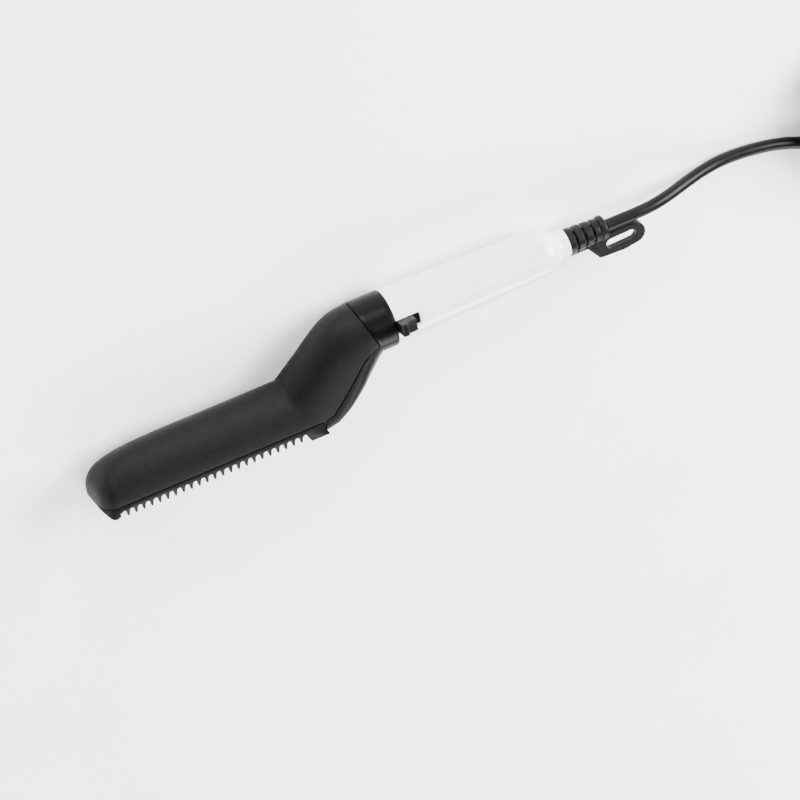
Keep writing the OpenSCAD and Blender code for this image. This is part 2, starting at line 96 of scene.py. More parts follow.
class Shape:
    """Points and faces in millimetres that become one mesh object."""

    def __init__(self) -> None:
        """Start with nothing in it."""
        self.points: list[Vector] = []
        self.faces: list[tuple[int, ...]] = []

    def add_grid(self, rows: Sequence[Sequence[Row]], wrap: bool = False) -> None:
        """Join rows of points into four-sided faces.

        Args:
            rows: rows of points, all with the same number of points.
            wrap: whether each row closes on itself.
        """
        index = []
        for row in rows:
            start = len(self.points)
            self.points += [Vector(p) for p in row]
            index.append(list(range(start, start + len(row))))
        width = len(rows[0])
        for upper, lower in zip(index, index[1:]):
            for j in range(width if wrap else width - 1):
                k = (j + 1) % width
                self.faces.append((upper[j], upper[k], lower[k], lower[j]))

    def add_tube(self, rows: Sequence[Sequence[Row]]) -> None:
        """Join closed rings of points into a tube with both ends closed."""
        self.add_grid(rows, wrap=True)
        self.add_loop(rows[0])
        self.add_loop(rows[-1])

    def add_shape(self, other: "Shape", offset: Row) -> None:
        """Add another shape's points and faces, moved by an offset."""
        start = len(self.points)
        self.points += [p + Vector(offset) for p in other.points]
        self.faces += [tuple(i + start for i in face) for face in other.faces]

    def add_loop(self, loop: Sequence[Row]) -> None:
        """Close a loop of points with one face."""
        start = len(self.points)
        self.points += [Vector(p) for p in loop]
        self.faces.append(tuple(range(start, start + len(loop))))

    def add_prism(self, outline: Sequence[tuple[float, float]], low: float, high: float) -> None:
        """Stand an outline in the x-y plane up between two heights.

        Args:
            outline: the corners, in order.
            low: the lower height.
            high: the upper height.
        """
        self.add_tube([[(x, y, z) for x, y in outline] for z in (low, high)])

    def add_block(self, low: Row, high: Row) -> None:
        """Add a box from its lowest and highest corners."""
        outline = [(low[0], low[1]), (high[0], low[1]), (high[0], high[1]), (low[0], high[1])]
        self.add_prism(outline, low[2], high[2])

    def add_turned(self, profile: Sequence[tuple[float, float]], steps: int = 64) -> None:
        """Turn a profile of (x, radius) points about the handle's axis."""
        around = ring_angles(steps)
        self.add_grid([[round_axis(x, r, a) for a in around] for x, r in profile], wrap=True)

    def object(self, name: str, merge: float = 0.004, recalc: bool = True) -> bpy.types.Object:
        """Make the mesh object, in metres, with its doubles merged.

        Args:
            name: the piece's name.
            merge: how close doubles are, in millimetres.
            recalc: whether to turn all faces outwards.

        Returns:
            The object, linked to the scene.
        """
        mesh = bpy.data.meshes.new(name)
        mesh.from_pydata([TOOL.at(p) for p in self.points], [], self.faces)
        made = bpy.data.objects.new(name, mesh)
        bpy.context.scene.collection.objects.link(made)
        work = bmesh.new()
        work.from_mesh(mesh)
        bmesh.ops.remove_doubles(work, verts=work.verts, dist=merge * MM)
        bmesh.ops.dissolve_degenerate(work, edges=work.edges, dist=merge * MM / 4)
        if recalc:
            bmesh.ops.recalc_face_normals(work, faces=work.faces)
        work.to_mesh(mesh)
        work.free()
        smooth(made)
        return made


def ring_angles(steps: int) -> list[float]:
    """Evenly spaced angles round a full turn, in radians."""
    return [math.tau * i / steps for i in range(steps)]


def round_axis(x: float, r: float, a: float) -> tuple[float, float, float]:
    """A point at a radius and an angle from the back towards up, about the handle's axis."""
    return x, r * math.cos(a), r * math.sin(a)


def arc_points(
    middle: tuple[float, float], r: float, start: float, turn: float, steps: int
) -> list[tuple[float, float]]:
    """Points along an arc in a plane.

    Args:
        middle: the arc's middle.
        r: its radius.
        start: the angle where it starts, in degrees.
        turn: how far it turns, in degrees.
        steps: how many steps it takes.

    Returns:
        The points, both ends included.
    """
    angles = [math.radians(start + turn * i / steps) for i in range(steps + 1)]
    return [(middle[0] + r * math.cos(a), middle[1] + r * math.sin(a)) for a in angles]


def smooth(obj: bpy.types.Object, angle: float = SHARP_ANGLE) -> None:
    """Shade smooth, keeping edges sharper than the angle."""
    obj.data.shade_smooth()
    obj.data.set_sharp_from_angle(angle=angle)


def bake_modifiers(obj: bpy.types.Object, angle: float = SHARP_ANGLE) -> bpy.types.Object:
    """Turn an object's modifiers into its plain mesh.

    Args:
        obj: the object with modifiers.
        angle: the angle above which its edges stay sharp.

    Returns:
        The same object.
    """
    graph = bpy.context.evaluated_depsgraph_get()
    result = bpy.data.meshes.new_from_object(obj.evaluated_get(graph))
    obj.modifiers.clear()
    old = obj.data
    obj.data = result
    result.name = old.name
    bpy.data.meshes.remove(old)
    smooth(obj, angle)
    return obj


def thicken(obj: bpy.types.Object, wall: float) -> None:
    """Give a skin its wall, inwards, in millimetres."""
    solid = obj.modifiers.new("wall", "SOLIDIFY")
    solid.thickness = wall * MM
    solid.offset = -1
    solid.use_even_offset = True


def round_edges(obj: bpy.types.Object, width: float, angle: float = 40, segments: int = 3) -> None:
    """Round every edge sharper than an angle.

    Args:
        obj: the object.
        width: the rounding's width in millimetres.
        angle: the least angle that is rounded, in degrees.
        segments: how many faces make the rounding.
    """
    bevel = obj.modifiers.new("edges", "BEVEL")
    bevel.width = width * MM
    bevel.segments = segments
    bevel.limit_method = "ANGLE"
    bevel.angle_limit = math.radians(angle)
    bevel.use_clamp_overlap = True


def combine(obj: bpy.types.Object, other: bpy.types.Object, operation: str) -> None:
    """Change one closed object by another, which is deleted.

    Args:
        obj: the object that stays.
        other: the object that is fused in or cut out.
        operation: UNION or DIFFERENCE.
    """
    change = obj.modifiers.new("combine", "BOOLEAN")
    change.operation = operation
    change.object = other
    change.solver = "EXACT"
    bake_modifiers(obj)
    bpy.data.objects.remove(other)


def cut_away(obj: bpy.types.Object, cutter: bpy.types.Object) -> None:
    """Cut one closed object out of another, and delete the cutter."""
    combine(obj, cutter, "DIFFERENCE")


def unite(obj: bpy.types.Object, other: bpy.types.Object) -> None:
    """Fuse one closed object into another, and delete the second."""
    combine(obj, other, "UNION")


def joined(name: str, parts: Sequence[bpy.types.Object]) -> bpy.types.Object:
    """Join finished objects into one piece.

    Args:
        name: the new piece's name.
        parts: the objects, which are deleted.

    Returns:
        The joined object.
    """
    work = bmesh.new()
    for part in parts:
        work.from_mesh(part.data)
    mesh = bpy.data.meshes.new(name)
    work.to_mesh(mesh)
    work.free()
    for part in parts:
        bpy.data.objects.remove(part)
    made = bpy.data.objects.new(name, mesh)
    bpy.context.scene.collection.objects.link(made)
    smooth(made)
    return made


def spline(knots: Sequence[Row], per_span: int, sharp: frozenset[int] = frozenset()) -> list[list[float]]:
    """Run a smooth curve through rows of numbers.

    Args:
        knots: the rows, whose first four numbers give the distance between knots.
        per_span: how many steps each span gets.
        sharp: the knots where the curve has a corner.

    Returns:
        The rows along the curve, knots included.
    """
    rows = [Vector(k) for k in knots]
    last = len(rows) - 1
    gap = [max(1e-6, (Vector(knots[i + 1][:4]) - Vector(knots[i][:4])).length) for i in range(last)]

    def slope(i: int, side: int) -> Vector:
        """The curve's direction at a knot, seen from one side."""
        if i in (0, last) or i in sharp:
            j = i if (side > 0 and i < last) or i == 0 else i - 1
            return (rows[j + 1] - rows[j]) / gap[j]
        before = (rows[i] - rows[i - 1]) / gap[i - 1]
        after = (rows[i + 1] - rows[i]) / gap[i]
        return (before * gap[i] + after * gap[i - 1]) / (gap[i] + gap[i - 1])

    out = []
    for i in range(last):
        start, end = slope(i, 1) * gap[i], slope(i + 1, -1) * gap[i]
        for step in range(per_span):
            t = step / per_span
            near = rows[i] * (2 * t**3 - 3 * t**2 + 1) + start * (t**3 - 2 * t**2 + t)
            far = rows[i + 1] * (3 * t**2 - 2 * t**3) + end * (t**3 - t**2)
            out.append(list(near + far))
    out.append(list(rows[last]))
    return out


# ---------------------------------------------------------------------------
# Finishes
# ---------------------------------------------------------------------------


def linear(code: str) -> tuple[float, float, float, float]:
    """Turn an sRGB hex colour into the linear colour that shaders use."""
    parts = [int(code[i : i + 2], 16) / 255 for i in (1, 3, 5)]
    red, green, blue = (p / 12.92 if p <= 0.04045 else ((p + 0.055) / 1.055) ** 2.4 for p in parts)
    return red, green, blue, 1.0


def add_node(
    tree: bpy.types.NodeTree, kind: str, settings: dict | None = None, **inputs: object
) -> bpy.types.Node:
    """Add one node, set what it is told and link what it is given.

    Args:
        tree: the node tree.
        kind: the node's type name.
        settings: the node's own properties.
        inputs: socket values or output sockets, by name with _ for a space, or i0 for a number.

    Returns:
        The node.
    """
    node = tree.nodes.new(kind)
    for key, value in (settings or {}).items():
        setattr(node, key, value)
    for key, value in inputs.items():
        by_number = key[0] == "i" and key[1:].isdigit()
        socket = node.inputs[int(key[1:])] if by_number else node.inputs[key.replace("_", " ")]
        if isinstance(value, bpy.types.NodeSocket):
            tree.links.new(value, socket)
        else:
            socket.default_value = value
    return node


class Surface:
    """One material under construction: its tree, its shader and its pattern's place."""

    def __init__(self, name: str, **shader: object) -> None:
        """Start a material with a shader whose plain values are set on its sockets.

        Args:
            name: the material's name.
            shader: the shader's values, by socket name with _ for a space.
        """
        self.material = bpy.data.materials.new(name)
        self.material.use_nodes = True
        self.tree = self.material.node_tree
        self.tree.nodes.clear()
        self.shader = self.add("ShaderNodeBsdfPrincipled", **shader)
        output = self.add("ShaderNodeOutputMaterial")
        self.tree.links.new(self.shader.outputs["BSDF"], output.inputs["Surface"])
        self.place = self.add("ShaderNodeTexCoord").outputs["Object"]

    def add(self, kind: str, settings: dict | None = None, **inputs: object) -> bpy.types.Node:
        """Add a node to this material."""
        return add_node(self.tree, kind, settings, **inputs)

    def link(self, output: bpy.types.NodeSocket, name: str) -> None:
        """Link an output to one of the shader's sockets."""
        self.tree.links.new(output, self.shader.inputs[name])

    def stretched(self, scale: Row) -> bpy.types.NodeSocket:
        """The pattern's place, scaled by a different amount along each axis."""
        return self.add("ShaderNodeMapping", Vector=self.place, Scale=scale).outputs["Vector"]

    def noise(
        self, size_mm: float, detail: float = 2, rough: float = 0.5, at: bpy.types.NodeSocket | None = None
    ) -> bpy.types.NodeSocket:
        """Noise whose grains are about size_mm across."""
        scale = 1 / (size_mm * MM)
        spot = self.place if at is None else at
        node = self.add("ShaderNodeTexNoise", Vector=spot, Scale=scale, Detail=detail, Roughness=rough)
        return node.outputs["Fac"]

    def span(
        self, value: bpy.types.NodeSocket, low: float, high: float, start: float = 0.0, end: float = 1.0
    ) -> bpy.types.NodeSocket:
        """Map a value from start..end to low..high, clamped."""
        node = self.add("ShaderNodeMapRange", i0=value, i1=start, i2=end, i3=low, i4=high)
        return node.outputs["Result"]

    def blend(self, factor: bpy.types.NodeSocket, first: str, second: str) -> bpy.types.NodeSocket:
        """Blend two hex colours by a factor."""
        node = self.add("ShaderNodeMix", {"data_type": "RGBA"})
        self.tree.links.new(factor, node.inputs["Factor"])
        node.inputs[6].default_value = linear(first)
        node.inputs[7].default_value = linear(second)
        return node.outputs[2]

    def bump(self, height: bpy.types.NodeSocket, depth_mm: float) -> bpy.types.NodeSocket:
        """A bump from a height that goes from 0 to 1 over depth_mm."""
        node = self.add("ShaderNodeBump", Height=height, Distance=depth_mm * MM, Strength=1.0)
        return node.outputs["Normal"]

    def maths(
        self, operation: str, first: object, second: object, third: object = 0.0
    ) -> bpy.types.NodeSocket:
        """Work out one sum from sockets or plain numbers."""
        node = self.add("ShaderNodeMath", {"operation": operation}, i0=first, i1=second, i2=third)
        return node.outputs["Value"]


@dataclass(frozen=True)
class MouldedPlastic:
    """ABS moulded in a spark-eroded tool: a fine even grain that scatters the light."""

    name: str
    colour: str
    pale: str
    roughness: float
    grain_mm: float
    grain_depth_mm: float
    wear: float = 0.35
    gloss: float = 0.3

    def build(self) -> bpy.types.Material:
        """Make the material."""
        s = Surface(self.name, Roughness=self.roughness, IOR=1.53, Specular_IOR_Level=self.gloss)
        grain = s.noise(self.grain_mm, 3, 0.6)
        cloud = s.noise(14, 2)
        tone = s.maths("MULTIPLY", s.span(grain, 0.0, 1.0, 0.45, 0.8), self.wear)
        s.link(s.blend(tone, self.colour, self.pale), "Base Color")
        s.link(s.maths("MULTIPLY_ADD", cloud, 0.08, self.roughness - 0.04), "Roughness")
        s.link(s.bump(grain, self.grain_depth_mm), "Normal")
        return s.material


@dataclass(frozen=True)
class GlossPlastic:
    """ABS from a polished tool: a glossy skin with the faint waviness of a moulding."""

    name: str
    colour: str
    shade: str
    roughness: float = 0.12
    coat: float = 0.3
    wave_mm: float = 5.0
    wave_depth_mm: float = 0.016

    def build(self) -> bpy.types.Material:
        """Make the material."""
        rough = self.roughness
        s = Surface(self.name, IOR=1.53, Coat_Weight=self.coat, Coat_Roughness=0.05, Roughness=rough)
        cloud = s.noise(26, 2)
        s.link(s.blend(s.span(cloud, 0, 1, 0.35, 0.7), self.colour, self.shade), "Base Color")
        smear = s.noise(3, 3, 0.6)
        s.link(s.span(smear, rough - 0.03, rough + 0.06), "Roughness")
        wave = s.noise(self.wave_mm, 2)
        s.link(s.bump(wave, self.wave_depth_mm), "Normal")
        return s.material


@dataclass(frozen=True)
class SoftVinyl:
    """Flexible PVC: a satin skin with a slight bloom and a very fine moulded grain."""

    name: str
    colour: str
    pale: str
    roughness: float = 0.42
    grain_mm: float = 0.35

    def build(self) -> bpy.types.Material:
        """Make the material."""
        s = Surface(self.name, IOR=1.52, Specular_IOR_Level=0.12, Roughness=self.roughness)
        grain = s.noise(self.grain_mm, 2, 0.55)
        bloom = s.noise(8, 3)
        s.link(s.blend(s.span(bloom, 0, 0.6, 0.4, 0.8), self.colour, self.pale), "Base Color")
        s.link(s.span(bloom, self.roughness - 0.06, self.roughness + 0.08), "Roughness")
        s.link(s.bump(grain, 0.012), "Normal")
        return s.material


@dataclass(frozen=True)
class DrawnMetal:
    """Metal with the lines that drawing, rolling or turning leaves in one direction."""

    name: str
    colour: str
    dark: str
    roughness: float
    line_scale: tuple[float, float, float]
    line_depth_mm: float = 0.006

    def build(self) -> bpy.types.Material:
        """Make the material."""
        s = Surface(self.name, Metallic=1.0, Roughness=self.roughness)
        lines = s.noise(1.0, 3, 0.6, s.stretched(self.line_scale))
        cloud = s.noise(6, 3)
        s.link(s.blend(s.span(cloud, 0, 1, 0.35, 0.75), self.colour, self.dark), "Base Color")
        s.link(s.span(lines, self.roughness - 0.08, self.roughness + 0.12), "Roughness")
        s.link(s.bump(lines, self.line_depth_mm), "Normal")
        return s.material


@dataclass(frozen=True)
class Woven:
    """A cloth or braid of threads that cross at right angles."""

    name: str
    colour: str
    gap: str
    thread_mm: float
    depth_mm: float

    def build(self) -> bpy.types.Material:
        """Make the material."""
        s = Surface(self.name, Roughness=0.85, Sheen_Weight=0.25, Sheen_Roughness=0.4)
        turns = 1 / (self.thread_mm * MM)
        waves = []
        for direction in ("X", "Y", "Z"):
            wave = s.add(
                "ShaderNodeTexWave",
                {"bands_direction": direction},
                Vector=s.place,
                Scale=turns / 3.2,
                Distortion=0.6,
                Detail=1.0,
            )
            waves.append(wave.outputs["Fac"])
        weave = s.maths("MAXIMUM", s.maths("MULTIPLY", waves[0], waves[1]), waves[2])
        s.link(s.blend(weave, self.gap, self.colour), "Base Color")
        s.link(s.bump(weave, self.depth_mm), "Normal")
        return s.material


@dataclass(frozen=True)
class InsulatingFilm:
    """Polyimide film: clear amber, glossy, with faint creases."""

    name: str
    colour: str
    dark: str

    def build(self) -> bpy.types.Material:
        """Make the material."""
        s = Surface(self.name, Roughness=0.2, IOR=1.7, Transmission_Weight=0.15)
        crease = s.noise(4, 4, 0.65)
        s.link(s.blend(s.span(crease, 0, 1, 0.4, 0.7), self.colour, self.dark), "Base Color")
        s.link(s.span(crease, 0.12, 0.3), "Roughness")
        s.link(s.bump(crease, 0.05), "Normal")
        return s.material


@dataclass(frozen=True)
class CircuitLaminate:
    """Glass-epoxy board under green solder mask, with tracks that stand up a little."""

    name: str
    colour: str
    track: str
    track_mm: float

    def build(self) -> bpy.types.Material:
        """Make the material."""
        s = Surface(self.name, Roughness=0.3, IOR=1.55)
        cells = s.add(
            "ShaderNodeTexVoronoi",
            {"distance": "MANHATTAN", "feature": "DISTANCE_TO_EDGE"},
            Vector=s.place,
            Scale=1 / (self.track_mm * 3 * MM),
        )
        track = s.span(cells.outputs["Distance"], 1, 0, 0.12, 0.2)
        s.link(s.blend(track, self.colour, self.track), "Base Color")
        s.link(s.bump(track, 0.035), "Normal")
        s.link(s.span(s.noise(2, 2), 0.22, 0.4), "Roughness")
        return s.material


class Finish(Enum):
    """Every finish on the comb, named for what the real surface is."""

    # Matte black ABS from a spark-eroded tool: soft wide highlights, a visible fine speckle
    COVER = MouldedPlastic("matte_black_abs", "#020303", "#161715", 0.45, 0.4, 0.2, 0.45, 0.09)
    # Satin black PBT of the comb: smoother than the cover
    COMB = MouldedPlastic("satin_black_pbt", "#020303", "#070807", 0.5, 0.6, 0.02, 0.2, 0.08)
    # Semi-gloss black ABS of the collar and lower neck: clear but soft reflections
    COLLAR = MouldedPlastic("semi_gloss_black_abs", "#020303", "#080909", 0.36, 0.9, 0.004, 0.2, 0.07)
    # Polished white ABS: near-white body under a glossy skin
    SLEEVE = GlossPlastic("polished_white_abs", "#e4e6ea", "#dcdfe3")
    # Glass-filled nylon of the heater's carrier: dull, slightly mottled
    CARRIER = MouldedPlastic("glass_filled_nylon", "#2a2b2c", "#484947", 0.6, 0.8, 0.04)
    # Moulded dark grey ABS of the inner parts
    TRAY = MouldedPlastic("dark_grey_abs", "#3b3d3f", "#55575a", 0.5, 0.7, 0.03)
    # Thumb piece: satin black acetal, with a fine paler speckle from its grain
    KNOB = MouldedPlastic("satin_black_acetal", "#0b0c0c", "#1c1d1e", 0.38, 0.5, 0.015, 0.3, 0.15)
    # Black flexible PVC of the relief, the lead and the plug
    RELIEF = SoftVinyl("relief_black_pvc", "#050506", "#0e0f10", 0.4)
    SHEATH = SoftVinyl("sheath_black_pvc", "#050506", "#0e0f10", 0.36, 0.5)
    PLUG = SoftVinyl("plug_black_pvc", "#050506", "#0e0f10", 0.45, 0.6)
    # Extruded, clear anodised aluminium: silvery satin with lines along the extrusion
    PLATE = DrawnMetal("anodised_aluminium", "#c3c6ca", "#a9adb2", 0.34, (0.03, 1, 1))
    # Rolled spring steel
    SPRING = DrawnMetal("rolled_spring_steel", "#9a9da1", "#7b7e83", 0.32, (0.04, 1, 1))
    # Zinc-plated screws
    SCREW = DrawnMetal("zinc_plated_steel", "#b9bcc2", "#8f9298", 0.28, (1, 1, 1), 0.01)
    # Tinned switch can
    CAN = DrawnMetal("tinned_steel", "#a8abad", "#8a8d8f", 0.36, (1, 1, 0.05))
    # Aluminium case of the ceramic heater, mill finish
    HEATER = DrawnMetal("mill_aluminium", "#bfc1c2", "#9d9fa1", 0.45, (0.05, 1, 1))
    # Nickel-plated brass pins: warm silver, turned lines round the pin
    PIN = DrawnMetal("nickel_plated_brass", "#c9c3b6", "#a8a294", 0.22, (1, 0.05, 0.05), 0.004)
    # Polyimide insulating film
    FILM = InsulatingFilm("polyimide_film", "#b8721c", "#8a4d0e")
    # Resin-sealed fuse case
    FUSE = GlossPlastic("fuse_resin", "#cfc39d", "#b9ab80", 0.35, 0.0, 2.0)
    # Braided glass-fibre sleeve over the heater's leads
    BRAID = Woven("glass_fibre_braid", "#e6e2d6", "#b3ad9c", 0.4, 0.12)
    # PVC core insulation
    CORE = GlossPlastic("core_pvc_blue", "#2b5d9c", "#244f86", 0.3, 0.0, 2.0)
    # Clear nylon crimp caps
    CRIMP = GlossPlastic("natural_nylon", "#d9dde0", "#c4c9cd", 0.28, 0.0, 2.0)
    # Green glass-epoxy board
    BOARD = CircuitLaminate("solder_masked_laminate", "#1f5b34", "#2f7d49", 0.5)
    # Woven strap that ties the coil
    STRAP = Woven("woven_polyester_strap", "#141517", "#08090a", 0.9, 0.25)

    def material(self) -> bpy.types.Material:
        """The finish's material, built the first time that it is asked for."""
        found = bpy.data.materials.get(self.value.name)
        return found if found is not None else self.value.build()


def dress(obj: bpy.types.Object, finish: Finish) -> bpy.types.Object:
    """Give an object one finish on all its faces."""
    obj.data.materials.clear()
    obj.data.materials.append(finish.material())
    for face in obj.data.polygons:
        face.material_index = 0
    return obj


def place(obj: bpy.types.Object, body: str, finish: Finish, slot: str, *nodes: str) -> bpy.types.Object:
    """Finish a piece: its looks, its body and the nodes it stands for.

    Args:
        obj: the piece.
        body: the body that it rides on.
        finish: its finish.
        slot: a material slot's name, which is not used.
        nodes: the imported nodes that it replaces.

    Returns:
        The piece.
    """
    dress(obj, finish)
    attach(obj, body)
    if nodes:
        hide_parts(*nodes)
    log.info("%s rides on %s with %d faces", obj.name, body, len(obj.data.polygons))
    return obj


# ---------------------------------------------------------------------------
# Camera, light and floor
# ---------------------------------------------------------------------------


@dataclass(frozen=True)
class Viewpoint:
    """A long lens over the back of the head, turned about its own axis."""

    azimuth: float = 203.45
    elevation: float = 50.15
    roll: float = 138.8
    lens: float = 700.0
    frame_width_mm: float = 373.8
    aim_mm: tuple[float, float, float] = (-8.6, -31.6, 21.3)

    def build(self) -> None:
        """Make the camera and set it as the scene's."""
        a, e, r = (math.radians(v) for v in (self.azimuth, self.elevation, self.roll))
        back = Vector((math.sin(a) * math.cos(e), -math.cos(a) * math.cos(e), math.sin(e)))
        level = Vector((math.cos(a), math.sin(a), 0))
        right = level * math.cos(r) + back.cross(level) * math.sin(r)
        up = back.cross(right)
        data = bpy.data.cameras.new("camera")
        data.lens = self.lens
        data.clip_start, data.clip_end = 0.5, 40
        distance = self.lens / data.sensor_width * self.frame_width_mm * MM
        camera = bpy.data.objects.new("camera", data)
        turn = Matrix((right, up, back)).transposed().to_4x4()
        camera.matrix_world = Matrix.Translation(TOOL.at(self.aim_mm) + back * distance) @ turn
        bpy.context.scene.collection.objects.link(camera)
        bpy.context.scene.camera = camera


@dataclass(frozen=True)
class Studio:
    """A pale floor under broad soft lights."""

    floor_size: float = 16.0
    floor_colour: str = "#fbfbfb"
    world_colour: str = "#f4f6fa"
    world_strength: float = 0.16

    def build(self) -> None:
        """Make the floor, the lights and the surrounding light."""
        half = self.floor_size / 2
        mesh = bpy.data.meshes.new("floor")
        corners = [(-half, -half, 0), (half, -half, 0), (half, half, 0), (-half, half, 0)]
        mesh.from_pydata(corners, [], [(0, 1, 2, 3)])
        floor = bpy.data.objects.new("floor", mesh)
        bpy.context.scene.collection.objects.link(floor)
        paper = Surface("floor_paper", Roughness=0.9, Specular_IOR_Level=0.1)
        tone = paper.span(paper.noise(60, 2), 0, 1, 0.3, 0.7)
        paper.link(paper.blend(tone, self.floor_colour, "#f8f8f8"), "Base Color")
        mesh.materials.append(paper.material)
        world = bpy.data.worlds.new("studio")
        bpy.context.scene.world = world
        world.use_nodes = True
        world.node_tree.nodes.clear()
        sky = add_node(world.node_tree, "ShaderNodeBackground", Strength=self.world_strength)
        sky.inputs["Color"].default_value = linear(self.world_colour)
        out = add_node(world.node_tree, "ShaderNodeOutputWorld")
        world.node_tree.links.new(sky.outputs["Background"], out.inputs["Surface"])
        self.softbox("window_side", (1.3, 0.35, 0.85), (0.9, 0.9), 112)
        self.softbox("front_side", (0.1, -1.25, 0.75), (1.2, 0.6), 44)
        self.softbox("tip_side", (-1.2, -0.35, 0.5), (0.7, 0.5), 24)
        self.softbox("back_side", (-0.2, 1.3, 0.6), (1.2, 0.5), 46)
        self.softbox("ceiling_strip", (0.32, 0.33, 1.4), (1.2, 0.16), 6)

    def softbox(self, name: str, at: Row, size: tuple[float, float], power: float) -> None:
        """Hang a rectangular lamp that faces the comb.

        Args:
            name: the lamp's name.
            at: its place in metres.
            size: its width and height in metres.
            power: its power in watts.
        """
        data = bpy.data.lights.new(name, "AREA")
        data.shape = "RECTANGLE"
        data.size, data.size_y, data.energy = *size, power
        lamp = bpy.data.objects.new(name, data)
        spot = Vector(at)
        lamp.matrix_world = Matrix.Translation(spot) @ spot.to_track_quat("Z", "Y").to_matrix().to_4x4()
        bpy.context.scene.collection.objects.link(lamp)


# ---------------------------------------------------------------------------
# The cranked housing: collar with lower neck, and cover with upper neck
# ---------------------------------------------------------------------------


class Station(NamedTuple):
    """One cross-section: an arch from its feet on the parting line to its far edge.

    A bow bends the arch towards the tip below its far edge, by 0.42 of its value at most.
    """

    foot_x: float
    foot_y: float
    edge_x: float
    edge_y: float
    centre_y: float
    half_width: float
    roundness: float
    bow: float = 0.0

    def arch(self, steps: int, clear: float = 0.0) -> list[tuple[float, float, float]]:
        """The arch's points from the upper foot over the edge to the lower foot.

        Args:
            steps: how many steps lead from a foot to the edge.
            clear: how far each foot stays above the parting line, in millimetres.

        Returns:
            The points, in millimetres.
        """
        out = []
        height = self.edge_y - self.centre_y
        reach = math.hypot(self.edge_x - self.foot_x, self.edge_y - self.foot_y)
        start = math.asin(min(0.5, clear / max(reach, 0.05)))
        for j in range(-steps, steps + 1):
            f = math.sin(start + (math.pi / 2 - start) * (1 - abs(j) / steps))
            x = self.foot_x + (self.edge_x - self.foot_x) * f - self.bow * 4 * f**3 * (1 - f)
            y = self.foot_y + (self.edge_y - self.foot_y) * f
            ratio = abs(y - self.centre_y) / abs(height) if abs(height) > 1e-3 else f
            z = self.half_width * max(0.0, 1 - ratio**self.roundness) ** (1 / self.roundness)
            out.append((x, y, z if j < 0 else -z))
        return out


HANDLE_R = 14.0
JOINT_GAP = 0.08
SWITCH_LEAN = 9.0
PART_Y = -32.0
CROWN_Y = -11.4
REAR_X = -44.1
TIP_X = -159.0
CORNER_R = 7.5


def tip_half(x: float) -> float:
    """Half the head's width where its corners round off towards the tip."""
    into = max(0.0, (TIP_X + CORNER_R) - x)
    return HANDLE_R - CORNER_R + math.sqrt(max(0.0, CORNER_R**2 - into**2))


